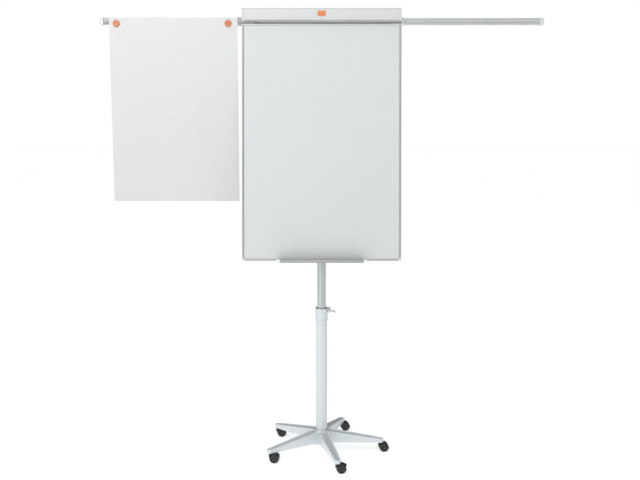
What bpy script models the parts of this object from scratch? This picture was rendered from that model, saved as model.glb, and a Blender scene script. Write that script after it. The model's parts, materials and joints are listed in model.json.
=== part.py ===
"""Mobile flipchart easel: five-star wheeled base, telescopic mast, whiteboard with two pull-out arms.

Metres, +Z up. The origin is on the floor under the mast, and the front of the board faces -Y. The board and
all that it carries are placed by their offset ahead of its writing face and their height up from its foot.
"""

from math import cos, pi, radians, sin, sqrt

import bmesh
import bpy
from mathutils import Matrix

GAP = 0.0003  # between pieces that touch
ROUND = 28  # facets round a tube

# Base: five cast legs round a hub, each on a twin-wheel caster.
LEG_COUNT = 5
FIRST_LEG = radians(-3.3)
HUB_RADIUS = 0.039
HUB_LOW, HUB_SHOULDER, HUB_TOP = 0.036, 0.0975, 0.1065
HUB_FLOOR = 0.012  # thickness under the tube
HUB_RIM = 0.0025  # flat round the tube
LEG_END = 0.297
LEG_TOP = (0.101, 0.0620)  # at the hub, at the tip
LEG_FOOT = (0.045, 0.0453)
SEAT = 0.0440  # top of a caster's boss
LEG_WIDTH = (0.046, 0.030)
LEG_WALL = 0.003
RIDGE = 0.0042  # width of the raised edge along each side of a leg's top
GROOVE = 0.0040
STEM_RADIUS = 0.0055
STEM_AT = 0.280  # from the mast's axis
SOCKET_TOP = 0.0560

# Casters: wheel radius, how far the axle trails its stem, and which way each one trails.
WHEEL_RADIUS = 0.0208
WHEEL_WIDTH = 0.0148
WEB_HALF = 0.0043
TRAIL = 0.018
HOOD_RADIUS, HOOD_WALL = 0.0228, 0.0015
HOOD_ENDS = (-14, 194)  # degrees round the axle
CASTER_HALF = 0.0195
CASTER_TURN = [radians(a) for a in (6, 10, 6, -5, 3)]
AXLE_RADIUS = 0.003
BRAKED = (3, 4)  # the two front legs
PEDAL_HALF, PEDAL_THICK = 0.008, 0.0032
PEDAL_AXIS = 0.0018  # outside the hood

# Mast.
OUTER_RADIUS, OUTER_WALL = 0.0265, 0.0025
OUTER_LOW, OUTER_TOP = HUB_LOW + HUB_FLOOR + GAP, 0.687
COLLAR_RADIUS = (0.0292, 0.0300)  # at its foot, at its top
COLLAR_LOW, COLLAR_TOP = 0.6390, 0.6970
LUG_REACH, LUG_HALF, LUG_LOW = 0.043, 0.0095, 0.675
SLOT_HALF = 0.0015
CLAMP_AT = (0.0365, 0.6865)  # x and z of the clamp bolt
BUSH_LOW = 0.597
INNER_RADIUS, INNER_WALL = 0.0205, 0.0020
INNER_LOW, INNER_TOP = 0.495, 1.179

# Tilt joint behind the board.
PIVOT = 1.228
LEAN = radians(7.75)
STUD_RADIUS = 0.004
HEAD_HALF = 0.0265
EAR = (0.0270, 0.0300)
EAR_RADIUS, EAR_FOOT = 0.018, 0.034
BRACKET_HALF, BRACKET_TALL = 0.080, 0.125
BRACKET_THICK = 0.003

# Board: its face is FACE ahead of the pivot, and its bottom edge is DROP below it.
FACE, DROP = 0.088, 0.300
BOARD_HALF = 0.3575
BACK = -0.017  # offset of the frame's back
LIP = 0.003  # offset of the frame's front
FRAME = 0.009  # width of the frame's face
PANEL_THICK = 0.010
PANEL_EDGE = 0.007  # board's outside to panel's edge
PANEL_FOOT = 0.006  # height of the panel's lower edge
PANEL_STEP = 0.0005  # the panel's rim lies this much below its writing face
CORNER, CORNER_BEND = 0.0142, 0.0045

# Arm rail along the top, header above it, and the two arms that slide in the rail.
RAIL = (1.0555, 1.0905)
RAIL_CAVITY = (1.0572, 1.0888)
RAIL_MOUTH = (1.0590, 1.0700)
RAIL_FRONT, RAIL_LIP = 0.0065, 0.0025
RAIL_WALL = 0.0025
ARM_REACH = 0.9965
ARM_LENGTH = 0.680
ARM_CAP = 0.020
ARM = (1.0575, 1.0885)
ARM_RIB = (1.0597, 1.0693)
LEFT_LANE = (-0.0036, 0.0034)
RIB_FRONT = 0.0078
RIGHT_LANE = (-0.0140, -0.0042)
LANE_ROOM = 0.0004  # round an arm in its guide
GUIDE_LEFT, GUIDE_RIGHT = 0.0212, 0.0090
GUIDE = (1.0560, 1.0900)
HEADER_TOP = 1.130
HEADER_HALF = 0.3570
HEADER_CAP = 0.0085
FLAP_FRONT, FLAP_THICK, FLAP_FOOT = 0.0225, 0.0022, 1.0742
FLARE = 0.0028  # how far the flap's foot leans out
HINGE = (-0.0095, 1.1205)  # offset and height of the flap's rod
ROD_RADIUS = 0.0025
PEG_AT = 0.150
ANGLE_THICK, ANGLE_TOP = 0.002, 1.1130
BADGE_HALF, BADGE = 0.018, (1.0915, 1.1145)

# Hung sheet and its two magnets.
SHEET = (0.575, 0.8235)
SHEET_THICK = 0.0006
SHEET_TOP = 1.0880
SHEET_RIGHT = -0.3760
MAGNET_RADIUS, MAGNET_THICK, MAGNET_AT = 0.0145, 0.007, 1.0610
MAGNET_INSET = (0.0330, 0.0425)  # from the sheet's left and right edges

# Pen tray.
TRAY_HALF, TRAY_CAP = 0.1865, 0.0165
TRAY_FLOOR, TRAY_LIP = -0.0075, 0.0046
TRAY_REACH, TRAY_BACK = 0.046, 0.006
TRAY_WALL = 0.0018

PLASTIC_BLACK = ((0.02, 0.02, 0.022), 0.5, 0.0)
STEEL = ((0.55, 0.56, 0.57), 0.3, 1.0)
SILVER_PAINT = ((0.62, 0.66, 0.69), 0.35, 0.6)
ALUMINIUM = ((0.66, 0.67, 0.68), 0.35, 1.0)
PLASTIC_GREY = ((0.70, 0.71, 0.71), 0.5, 0.0)
PLASTIC_DARK = ((0.25, 0.26, 0.27), 0.5, 0.0)
BOARD_WHITE = ((0.78, 0.79, 0.79), 0.15, 0.0)
PAPER = ((0.85, 0.86, 0.85), 0.8, 0.0)
ORANGE = ((0.75, 0.22, 0.08), 0.4, 0.0)


def clear_scene():
    for item in list(bpy.data.objects):
        bpy.data.objects.remove(item, do_unlink=True)


def paint(finish):
    """One material for each sub-part, from its (colour, roughness, metallic)."""
    colour, roughness, metallic = finish
    material = bpy.data.materials.new("finish")
    material.use_nodes = True
    shader = material.node_tree.nodes["Principled BSDF"]
    shader.inputs["Base Color"].default_value = (*colour, 1.0)
    shader.inputs["Roughness"].default_value = roughness
    shader.inputs["Metallic"].default_value = metallic
    return material


def empty(name, location, parent=None, rotation=(0, 0, 0)):
    point = bpy.data.objects.new(name, None)
    point.location = location
    point.rotation_euler = rotation
    point.parent = parent
    bpy.context.collection.objects.link(point)
    return point


def to_mesh(name, bm):
    bmesh.ops.remove_doubles(bm, verts=bm.verts, dist=1e-7)
    bmesh.ops.recalc_face_normals(bm, faces=bm.faces)
    mesh = bpy.data.meshes.new(name)
    bm.to_mesh(mesh)
    bm.free()
    return mesh


def place(name, mesh, finish, parent=None, location=(0, 0, 0), rotation=(0, 0, 0)):
    """A sub-part: its mesh, material and place under its parent."""
    piece = bpy.data.objects.new(name, mesh)
    mesh.name = name
    mesh.materials.clear()
    mesh.materials.append(paint(finish))
    mesh.shade_smooth()
    mesh.set_sharp_from_angle(angle=radians(35))
    piece.parent = parent
    piece.location = location
    piece.rotation_euler = rotation
    bpy.context.collection.objects.link(piece)
    return piece


def loft(sections):
    """Closed solid through rings of equal point counts, capped at both ends."""
    bm = bmesh.new()
    rings = [[bm.verts.new(p) for p in section] for section in sections]
    for low, high in zip(rings, rings[1:]):
        for i in range(len(low)):
            j = (i + 1) % len(low)
            bm.faces.new((low[i], low[j], high[j], high[i]))
    bm.faces.new(list(reversed(rings[0])))
    bm.faces.new(rings[-1])
    bm.normal_update()
    bmesh.ops.triangulate(bm, faces=[f for f in bm.faces if len(f.verts) > 4])
    return to_mesh("loft", bm)


def along_x(outline, start, end):
    """Prism along X from an outline of (y, z) points."""
    return loft([[(x, y, z) for y, z in outline] for x in (start, end)])


def along_z(outline, low, high):
    return loft([[(x, y, z) for x, y in outline] for z in (low, high)])


def along_y(outline, near, far):
    """Prism along Y from an outline of (x, z) points."""
    return loft([[(x, y, z) for x, z in outline] for y in (near, far)])


def box(low, high):
    outline = [(low[0], low[1]), (high[0], low[1]), (high[0], high[1]), (low[0], high[1])]
    return along_z(outline, low[2], high[2])


def arc(centre, radius, start, end, steps):
    """Points on an arc, in degrees, ends included."""
    angles = [radians(start + (end - start) * i / steps) for i in range(steps + 1)]
    return [(centre[0] + radius * cos(a), centre[1] + radius * sin(a)) for a in angles]


def lathe(profile, steps=ROUND):
    """Solid of revolution about Z from a closed loop of (radius, z); radius 0 lies on the axis."""
    bm = bmesh.new()
    columns = []
    for i in range(steps):
        turn = 2 * pi * i / steps
        columns.append([bm.verts.new((r * cos(turn), r * sin(turn), z)) for r, z in profile])
    for i, column in enumerate(columns):
        after = columns[(i + 1) % steps]
        for j in range(len(profile)):
            k = (j + 1) % len(profile)
            if profile[j][0] == 0 and profile[k][0] == 0:
                continue
            ring = [column[j], after[j], after[k], column[k]]
            if profile[j][0] == 0:
                ring.remove(after[j])
            if profile[k][0] == 0:
                ring.remove(after[k])
            bm.faces.new(ring)
    return to_mesh("lathe", bm)


def disc(radius, low, high, steps=ROUND):
    return lathe([(0, low), (radius, low), (radius, high), (0, high)], steps)


def tube(outer, inner, low, high):
    return lathe([(inner, low), (outer, low), (outer, high), (inner, high)])


def moved(mesh, matrix):
    mesh.transform(matrix)
    return mesh


def turned_to_x(mesh):
    return moved(mesh, Matrix.Rotation(pi / 2, 4, "Y"))


def turned_to_y(mesh):
    return moved(mesh, Matrix.Rotation(-pi / 2, 4, "X"))


def combined(body, added=(), removed=()):
    """The body mesh with other meshes joined to it and cut from it."""
    target = bpy.data.objects.new("target", body)
    bpy.context.collection.objects.link(target)
    tools = []
    steps = [(mesh, "UNION") for mesh in added] + [(mesh, "DIFFERENCE") for mesh in removed]
    for mesh, operation in steps:
        tool = bpy.data.objects.new("tool", mesh)
        bpy.context.collection.objects.link(tool)
        tools.append(tool)
        step = target.modifiers.new(operation, "BOOLEAN")
        step.object = tool
        step.operation = operation
        step.solver = "EXACT"
    graph = bpy.context.evaluated_depsgraph_get()
    result = bpy.data.meshes.new_from_object(target.evaluated_get(graph))
    for item in [target, *tools]:
        bpy.data.objects.remove(item, do_unlink=True)
    bm = bmesh.new()
    bm.from_mesh(result)
    bmesh.ops.dissolve_limit(bm, angle_limit=radians(0.1), verts=bm.verts, edges=bm.edges)
    bmesh.ops.triangulate(bm, faces=bm.faces)
    return to_mesh("combined", bm)


# ---------------------------------------------------------------- base


def leg_section(reach, share, half):
    """A leg's outline across its length: flat sides, two raised edges and a groove between them."""
    top = LEG_TOP[0] + (LEG_TOP[1] - LEG_TOP[0]) * share
    foot = LEG_FOOT[0] + (LEG_FOOT[1] - LEG_FOOT[0]) * share
    ridge = min(RIDGE, half * 0.5)
    middle = [half * share_across for share_across in (0.4, 0.2, 0, -0.2, -0.4)]
    edge = [
        (half * 0.90, foot),
        (half, top - 0.002),
        (half - 0.2 * ridge, top),
        (half - ridge, top),
        (half - 1.4 * ridge, top - GROOVE),
    ]
    outline = edge + [(y, top - GROOVE) for y in middle]
    outline += [(-y, z) for y, z in reversed(edge)]
    outline += [(-1.7 * y, foot) for y in middle]
    return [(reach(y), y, z) for y, z in outline]


def base_leg():
    """One leg along +X from the hub, open underneath, with a blind socket for the caster stem."""
    start = HUB_RADIUS + 2 * GAP
    nose = LEG_WIDTH[1] / 2
    straight = LEG_END - nose
    span = LEG_END - start

    def width(x):
        return (LEG_WIDTH[0] + (LEG_WIDTH[1] - LEG_WIDTH[0]) * (x - start) / span) / 2

    sections = [leg_section(lambda y: sqrt(start**2 - y**2), 0, width(start))]
    for x in (0.5 * (start + straight), straight):
        sections.append(leg_section(lambda y, x=x: x, (x - start) / span, width(x)))
    for angle in (30, 55, 75):
        x = straight + nose * sin(radians(angle))
        half = width(straight) * cos(radians(angle))
        sections.append(leg_section(lambda y, x=x: x, (x - start) / span, half))
    cavity = []
    for x in (start + 0.012, STEM_AT - 0.018):
        share = (x - start) / span
        half = width(x) * 0.9 - LEG_WALL
        top = LEG_TOP[0] + (LEG_TOP[1] - LEG_TOP[0]) * share - GROOVE - LEG_WALL
        cavity.append([(x, half, 0.0), (x, half, top), (x, -half, top), (x, -half, 0.0)])
    socket = disc(STEM_RADIUS + GAP, 0.0, SOCKET_TOP, 16)
    moved(socket, Matrix.Translation((STEM_AT, 0, 0)))
    return combined(loft(sections), removed=[loft(cavity), socket])


def caster_housing():
    """Hood, web between the wheels and stem boss; the origin is on the axle, the stem at -X."""
    stem = Matrix.Translation((-TRAIL, 0, 0))
    top = SEAT - WHEEL_RADIUS
    inner = HOOD_RADIUS - HOOD_WALL
    middle = HOOD_RADIUS - HOOD_WALL / 2
    rim = arc((0, 0), HOOD_RADIUS, *HOOD_ENDS, 18) + arc((0, 0), inner, *reversed(HOOD_ENDS), 18)
    hood = along_y(rim, -CASTER_HALF, CASTER_HALF)
    web = along_y(arc((0, 0), middle, *HOOD_ENDS, 18), -WEB_HALF, WEB_HALF)
    boss = moved(disc(0.0095, 0.004, top, 16), stem)
    boss = combined(boss, removed=[turned_to_y(disc(middle, -0.03, 0.03, 36))])
    axle = turned_to_y(disc(AXLE_RADIUS + GAP, -0.03, 0.03, 12))
    bore = moved(disc(STEM_RADIUS * 0.7 + GAP, top - 0.007, 0.05, 12), stem)
    return combined(hood, [web, boss], [axle, bore])


def caster_stem():
    """Steel stem standing in the housing's boss; z is counted from the axle."""
    foot = SEAT - WHEEL_RADIUS + GAP
    head = SOCKET_TOP - WHEEL_RADIUS - GAP
    thin = STEM_RADIUS * 0.7
    profile = [(0, foot - 0.0068), (thin, foot - 0.0068), (thin, foot), (STEM_RADIUS, foot)]
    profile += [(STEM_RADIUS, head - 0.001), (STEM_RADIUS - 0.001, head), (0, head)]
    return lathe(profile, 16)


def caster_wheels():
    """Both wheels on their axle, as one turned piece along Y."""
    inner, outer = WEB_HALF + GAP, WEB_HALF + GAP + WHEEL_WIDTH
    half = [
        (AXLE_RADIUS, inner),
        (WHEEL_RADIUS - 0.0015, inner),
        (WHEEL_RADIUS, inner + 0.002),
        (WHEEL_RADIUS, outer - 0.003),
        (WHEEL_RADIUS - 0.0022, outer),
        (WHEEL_RADIUS * 0.62, outer),
        (WHEEL_RADIUS * 0.55, outer - 0.002),
        (0, outer - 0.002),
    ]
    return turned_to_y(lathe([(r, -z) for r, z in reversed(half)] + half, 24))


def brake_lever():
    """Foot pedal hugging the back of a caster's hood, pivoting at its upper end; origin on the axle."""
    inner = arc((0, 0), HOOD_RADIUS + GAP, 26, 66, 5)
    outer = arc((0, 0), HOOD_RADIUS + PEDAL_THICK, 66, 52, 2)
    toe = arc((0, 0), HOOD_RADIUS + 2 * PEDAL_THICK, 45, 33, 2)
    return along_y(inner + outer + toe, -PEDAL_HALF, PEDAL_HALF)


def brake_axis():
    radius, turn = HOOD_RADIUS + PEDAL_AXIS, radians(64)
    return radius * cos(turn), radius * sin(turn)


def base_hub():
    """Drum with a blind bore that the outer tube stands in."""
    bore, floor = OUTER_RADIUS + GAP, HUB_LOW + HUB_FLOOR
    profile = [(0, HUB_LOW), (HUB_RADIUS - 0.004, HUB_LOW), (HUB_RADIUS, HUB_LOW + 0.004)]
    profile += [(HUB_RADIUS, HUB_SHOULDER), (bore + HUB_RIM, HUB_TOP), (bore, HUB_TOP)]
    profile += [(bore, floor), (0, floor)]
    return lathe(profile, 30)


def build_base():
    place("base_hub", base_hub(), SILVER_PAINT)
    leg, housing, stem, wheels = base_leg(), caster_housing(), caster_stem(), caster_wheels()
    pedal = brake_lever()
    for i in range(LEG_COUNT):
        turn = FIRST_LEG + 2 * pi * i / LEG_COUNT
        number = i + 1
        place(f"base_leg_{number}", leg.copy(), SILVER_PAINT, rotation=(0, 0, turn))
        stem_at = (STEM_AT * cos(turn), STEM_AT * sin(turn), WHEEL_RADIUS)
        swivel = empty(f"swivel_{number}", stem_at, rotation=(0, 0, CASTER_TURN[i]))
        place(f"caster_housing_{number}", housing.copy(), PLASTIC_BLACK, swivel, (TRAIL, 0, 0))
        place(f"caster_stem_{number}", stem.copy(), STEEL, swivel)
        place(f"caster_wheels_{number}", wheels.copy(), PLASTIC_BLACK, swivel, (TRAIL, 0, 0))
        if i in BRAKED:
            x, z = brake_axis()
            lever = moved(pedal.copy(), Matrix.Translation((-x, 0, -z)))
            place(f"brake_lever_{number}", lever, PLASTIC_BLACK, swivel, (TRAIL + x, 0, z))


# ---------------------------------------------------------------- mast


def collar():
    """Split clamp collar with two lugs on its right."""
    low, high = COLLAR_RADIUS
    sleeve = lathe([(0, COLLAR_LOW), (low, COLLAR_LOW), (high, COLLAR_TOP), (0, COLLAR_TOP)])
    lugs = box((0.020, -LUG_HALF, LUG_LOW), (LUG_REACH, LUG_HALF, COLLAR_TOP))
    bore = disc(OUTER_RADIUS + GAP, 0.0, 1.0)
    slot = box((0.010, -SLOT_HALF, 0.0), (0.060, SLOT_HALF, 1.0))
    hole = turned_to_y(disc(0.0033, -0.03, 0.03, 12))
    moved(hole, Matrix.Translation((CLAMP_AT[0], 0, CLAMP_AT[1])))
    return combined(sleeve, [lugs], [bore, slot, hole])


def clamp_lever():
    """Clamp bolt along Y with its lever at the front; the origin is on the bolt's axis."""
    front = -LUG_HALF - GAP
    bolt = turned_to_y(disc(0.003, front - 0.003, LUG_HALF + 0.004, 12))
    hub = turned_to_y(disc(0.0062, front - 0.0095, front, 16))
    droop = radians(-14)
    sections = []
    for reach, half in ((0.0, 0.0045), (0.020, 0.0040), (0.0275, 0.0052), (0.0305, 0.0035)):
        x, z = reach * cos(droop), reach * sin(droop)
        middle = front - 0.005
        ring = [(x, middle + y, z + h) for y, h in arc((0, 0), half, 0, 330, 11)]
        sections.append(ring)
    return combined(bolt, [hub, loft(sections)])


def build_mast():
    inside = OUTER_RADIUS - OUTER_WALL
    place("outer_tube", tube(OUTER_RADIUS, inside, OUTER_LOW, OUTER_TOP), SILVER_PAINT)
    place("collar", collar(), SILVER_PAINT)
    bore = INNER_RADIUS + GAP
    rim, top = OUTER_TOP + GAP, COLLAR_TOP - 0.003
    bush = [(bore, BUSH_LOW), (inside - GAP, BUSH_LOW), (inside - GAP, rim)]
    bush += [(OUTER_RADIUS, rim), (OUTER_RADIUS - 0.001, top), (bore, top)]
    place("guide_bush", lathe(bush), PLASTIC_DARK)
    place("clamp_lever", clamp_lever(), STEEL, location=(CLAMP_AT[0], 0, CLAMP_AT[1]))
    bore = INNER_RADIUS - INNER_WALL
    place("inner_tube", tube(INNER_RADIUS, bore, INNER_LOW, INNER_TOP), ALUMINIUM)
    foot, fit, slim = INNER_LOW - GAP, inside - GAP, bore - GAP
    plug = [(0, foot - 0.012), (fit - 0.001, foot - 0.012), (fit, foot - 0.010)]
    plug += [(fit, foot), (slim, foot), (slim, foot + 0.030), (0, foot + 0.030)]
    place("mast_foot_bush", lathe(plug), PLASTIC_DARK)


# ---------------------------------------------------------------- tilt joint


def build_tilt():
    """Head on top of the mast, knob with its stud, and the bracket on the board's back."""
    axis = empty("tilt_axis", (0, 0, PIVOT))
    roof = INNER_TOP + GAP - PIVOT
    low = roof - 0.042
    sleeve = disc(HEAD_HALF, low, roof + 0.010)
    cheek = 0.0185
    fork = arc((0, 0), cheek, -5, 185, 10) + [(-cheek, roof + 0.004), (cheek, roof + 0.004)]
    block = along_x(fork, -HEAD_HALF, HEAD_HALF)
    bore = disc(INNER_RADIUS + GAP, low - 0.01, roof)
    hole = turned_to_x(disc(STUD_RADIUS + GAP, -0.05, 0.05, 16))
    place("tilt_head", combined(sleeve, [block], [bore, hole]), PLASTIC_DARK, axis)

    stud = turned_to_x(disc(STUD_RADIUS, -EAR[1] - 0.008, EAR[1] + 0.004, 16))
    lobes = 6
    rim = []
    for i in range(lobes * 4):
        turn = 2 * pi * i / (lobes * 4)
        radius = 0.020 + 0.002 * cos(lobes * turn)
        rim.append((radius * cos(turn), radius * sin(turn)))
    knob = along_x(rim, EAR[1] + GAP, EAR[1] + 0.018)
    place("tilt_knob", combined(stud, [knob]), PLASTIC_BLACK, axis)
    return axis


def bracket():
    """Plate on the panel's back with two ears that straddle the head."""
    rear = -(FACE - PANEL_THICK - GAP)
    front = rear + BRACKET_THICK
    plate = box((-BRACKET_HALF, rear, -BRACKET_TALL), (BRACKET_HALF, front, BRACKET_TALL))
    outline = arc((0, 0), EAR_RADIUS, -90, 90, 8) + [(rear + 0.001, EAR_FOOT), (rear + 0.001, -EAR_FOOT)]
    ears = [along_x(outline, *sorted((side * EAR[0], side * EAR[1]))) for side in (-1, 1)]
    hole = turned_to_x(disc(STUD_RADIUS + GAP, -0.05, 0.05, 16))
    return combined(plate, ears, [hole])


# ---------------------------------------------------------------- board


def outline_on_board(points):
    """(offset ahead of the face, height up the board) to the board frame's (y, z)."""
    return [(-(FACE + offset), height - DROP) for offset, height in points]


def strip(points, start, end):
    """Prism across the board, from an outline in (offset, height)."""
    return along_x(outline_on_board(points), start, end)


def slab(x, offset, height):
    """Block on the board, from its (low, high) in x, offset and height."""
    low = (x[0], -(FACE + offset[1]), height[0] - DROP)
    high = (x[1], -(FACE + offset[0]), height[1] - DROP)
    return box(low, high)


def frame_profile():
    """Edge moulding's section: (distance in from the outside, offset), with the panel's groove."""
    groove, mouth = PANEL_EDGE - GAP, -PANEL_STEP + GAP
    rear = -PANEL_THICK - GAP
    lip = [(0, BACK), (0, LIP), (FRAME, LIP), (FRAME, mouth)]
    return lip + [(groove, mouth), (groove, rear), (FRAME, rear), (FRAME, BACK)]


def frame_side(side):
    outline = [(side * (BOARD_HALF - inset), -(FACE + offset)) for inset, offset in frame_profile()]
    return along_z(outline, CORNER + GAP - DROP, RAIL[0] - GAP - DROP)


def corner(side):
    """Moulded corner with a rounded outside, a lip as wide as the frame's and a pocket for the panel."""
    radius, inner = CORNER_BEND, BOARD_HALF - CORNER
    outline = [(inner, 0.0)] + arc((BOARD_HALF - radius, radius), radius, -90, 0, 5)
    outline += [(BOARD_HALF, CORNER), (inner, CORNER)]
    outline = [(side * x, z - DROP) for x, z in outline]
    body = along_y(outline, -(FACE + LIP), -(FACE + BACK))
    across = sorted((0.0, side * (BOARD_HALF - PANEL_EDGE + GAP)))
    pocket = slab(across, (-PANEL_THICK - GAP, -PANEL_STEP + GAP), (PANEL_FOOT - GAP, 0.1))
    across = sorted((0.0, side * (BOARD_HALF - FRAME)))
    window = slab(across, (-PANEL_THICK, 0.1), (FRAME, 0.1))
    return combined(body, removed=[pocket, window])


def arm_rail():
    """Open-fronted channel; its two lips hold the arms in."""
    low, high = RAIL
    floor, roof = RAIL_CAVITY
    sill, head = RAIL_MOUTH
    rear, lip = BACK + RAIL_WALL, RAIL_FRONT - RAIL_LIP
    points = [(BACK, low), (RAIL_FRONT, low), (RAIL_FRONT, sill), (lip, sill), (lip, floor)]
    points += [(rear, floor), (rear, roof), (lip, roof), (lip, head), (RAIL_FRONT, head)]
    points += [(RAIL_FRONT, high), (BACK, high)]
    return strip(points, -BOARD_HALF, BOARD_HALF)


def arm_guide(side, length, lane):
    """Plastic guide on the rail's end, with a window for one arm; the left one's opens in front for the rib."""
    near = side * (BOARD_HALF + GAP)
    x = sorted((near, near + side * length))
    body = slab(x, (BACK, RAIL_FRONT), GUIDE)
    through = (x[0] - 0.01, x[1] + 0.01)
    cuts = [slab(through, (lane[0] - LANE_ROOM, lane[1] + LANE_ROOM), RAIL_CAVITY)]
    if lane == LEFT_LANE:
        cuts.append(slab(through, (0.0, 0.05), RAIL_MOUTH))
    return combined(body, removed=cuts)


def board_panel():
    """Panel whose rim steps down, so that its writing face ends where the frame's lips begin."""
    edge, inner = BOARD_HALF - PANEL_EDGE, BOARD_HALF - FRAME - GAP
    head = RAIL[0] - GAP
    rim = [(-edge, PANEL_FOOT), (edge, PANEL_FOOT), (edge, head), (-edge, head)]
    face = [(-inner, FRAME + GAP), (inner, FRAME + GAP), (inner, head - GAP), (-inner, head - GAP)]
    levels = [(rim, -PANEL_THICK), (rim, -PANEL_STEP), (face, -PANEL_STEP), (face, 0.0)]
    return loft([[(x, -(FACE + offset), z - DROP) for x, z in outline] for outline, offset in levels])


def sill_profile():
    """The bottom moulding's section in (offset, height): its groove holds the panel's foot."""
    shift = PANEL_EDGE - PANEL_FOOT
    return [(offset, height - shift if 0 < height < FRAME else height) for height, offset in frame_profile()]


def build_frame(board):
    place("board_panel", board_panel(), BOARD_WHITE, board)
    place("frame_left", frame_side(-1), ALUMINIUM, board)
    place("frame_right", frame_side(1), ALUMINIUM, board)
    end = BOARD_HALF - CORNER - GAP
    place("frame_bottom", strip(sill_profile(), -end, end), ALUMINIUM, board)
    place("corner_left", corner(-1), PLASTIC_GREY, board)
    place("corner_right", corner(1), PLASTIC_GREY, board)
    place("arm_rail", arm_rail(), ALUMINIUM, board)
    place("arm_guide_left", arm_guide(-1, GUIDE_LEFT, LEFT_LANE), PLASTIC_DARK, board)
    place("arm_guide_right", arm_guide(1, GUIDE_RIGHT, RIGHT_LANE), PLASTIC_GREY, board)
    place("board_bracket", bracket(), PLASTIC_DARK, board)


def flap_profile():
    """Clamp flap: hooks round its rod, curves over the top, drops down the front and flares at its foot."""
    outer, inner = ROD_RADIUS + GAP + FLAP_THICK, ROD_RADIUS + GAP
    bend = 0.016
    top = HEADER_TOP - bend
    crown = (FLAP_FRONT - bend, top)
    outside = arc(crown, bend, 90, 0, 6)
    inside = arc(crown, bend - FLAP_THICK, 0, 90, 6)
    knee, toe = FLAP_FOOT + 0.0105, FLAP_FRONT + FLARE
    front = [(FLAP_FRONT, knee), (toe, FLAP_FOOT + 0.003), (toe, FLAP_FOOT)]
    back = [(FLAP_FRONT + 0.0002, FLAP_FOOT), (FLAP_FRONT - FLAP_THICK, knee)]
    heel = HINGE[0] - outer
    rear = [(heel, HEADER_TOP - FLAP_THICK - 0.003), (heel + 0.003, HEADER_TOP)]
    hook = arc(HINGE, inner, 100, 330, 10)
    wrap = arc(HINGE, outer, 330, 180, 6)
    return outside + front + back + inside + hook + wrap + rear


def header_back():
    """Angle that stands on the rail: the pegs ride on its floor and the pad rests against its back."""
    low = RAIL[1] + GAP
    shelf, wall, front = low + ANGLE_THICK, BACK + ANGLE_THICK, 0.0100
    points = [(BACK, low), (front, low), (front, shelf), (wall, shelf), (wall, ANGLE_TOP), (BACK, ANGLE_TOP)]
    span = HEADER_HALF - HEADER_CAP - GAP
    return strip(points, -span, span)


def header_cap(side):
    """End cap: the header's outline, with a notch that lets a hung sheet and its magnets slide by."""
    bend = 0.017
    top = HEADER_TOP + 0.0005
    front = FLAP_FRONT + 0.0008
    low = RAIL[1] + GAP
    foot, toe, notch = FLAP_FOOT - 0.0005, front + FLARE, front - 0.0045
    points = arc((front - bend, top - bend), bend, 90, 0, 6)
    points += [(front, foot + 0.0115), (toe, foot + 0.0035), (toe, foot), (notch, foot), (notch, low)]
    points += [(BACK, low), (BACK, top - 0.004), (BACK + 0.004, top)]
    return strip(points, *sorted((side * (HEADER_HALF - HEADER_CAP), side * HEADER_HALF)))


def pad_peg():
    """Sliding carrier with the peg that a pad hangs on."""
    low = RAIL[1] + GAP + ANGLE_THICK + GAP
    carrier = slab((-0.009, 0.009), (-0.0020, 0.0095), (low, low + 0.008))
    pin = turned_to_y(disc(0.003, -(FACE + 0.0175), -(FACE + 0.0080), 12))
    moved(pin, Matrix.Translation((0, 0, low + 0.0045 - DROP)))
    return combined(carrier, [pin])


def build_header(board):
    span = HEADER_HALF - HEADER_CAP - GAP
    place("header_back", header_back(), PLASTIC_GREY, board)
    place("header_cap_left", header_cap(-1), PLASTIC_GREY, board)
    place("header_cap_right", header_cap(1), PLASTIC_GREY, board)
    y, z = outline_on_board([HINGE])[0]
    axis = empty("pad_clamp_axis", (0, y, z), board)
    rod = turned_to_x(disc(ROD_RADIUS, -span, span, 12))
    place("clamp_rod", rod, STEEL, axis)
    to_axis = Matrix.Translation((0, -y, -z))
    place("pad_clamp", moved(strip(flap_profile(), -span, span), to_axis), PLASTIC_GREY, axis)
    front = FLAP_FRONT + GAP
    badge = slab((-BADGE_HALF, BADGE_HALF), (front, front + 0.0012), BADGE)
    place("badge", moved(badge, to_axis), ORANGE, axis)
    for name, side in (("left", -1), ("right", 1)):
        place(f"pad_peg_{name}", pad_peg(), STEEL, board, (side * PEG_AT, 0, 0))


def build_tray(board):
    near = LIP + GAP
    low, floor = TRAY_FLOOR, TRAY_FLOOR + TRAY_WALL
    inside, wall = TRAY_REACH - TRAY_WALL, near + TRAY_WALL
    points = [(near, low), (TRAY_REACH - 0.003, low), (TRAY_REACH, low + 0.003), (TRAY_REACH, TRAY_LIP)]
    points += [(inside, TRAY_LIP), (inside, low + 0.0035), (inside - 0.0017, floor)]
    points += [(wall, floor), (wall, TRAY_BACK), (near, TRAY_BACK)]
    place("pen_tray", strip(points, -TRAY_HALF, TRAY_HALF), ALUMINIUM, board)
    for name, side in (("left", -1), ("right", 1)):
        lip = arc((TRAY_REACH - 0.004, TRAY_LIP - 0.003), 0.004, 0, 90, 4)
        points = [(near, low), (TRAY_REACH - 0.003, low), (TRAY_REACH, low + 0.003), *lip]
        points.append((near, TRAY_LIP + 0.001))
        start = side * (TRAY_HALF + GAP)
        cap = strip(points, *sorted((start, start + side * TRAY_CAP)))
        place(f"tray_cap_{name}", cap, PLASTIC_GREY, board)


# ---------------------------------------------------------------- arms, sheet and magnets


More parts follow.
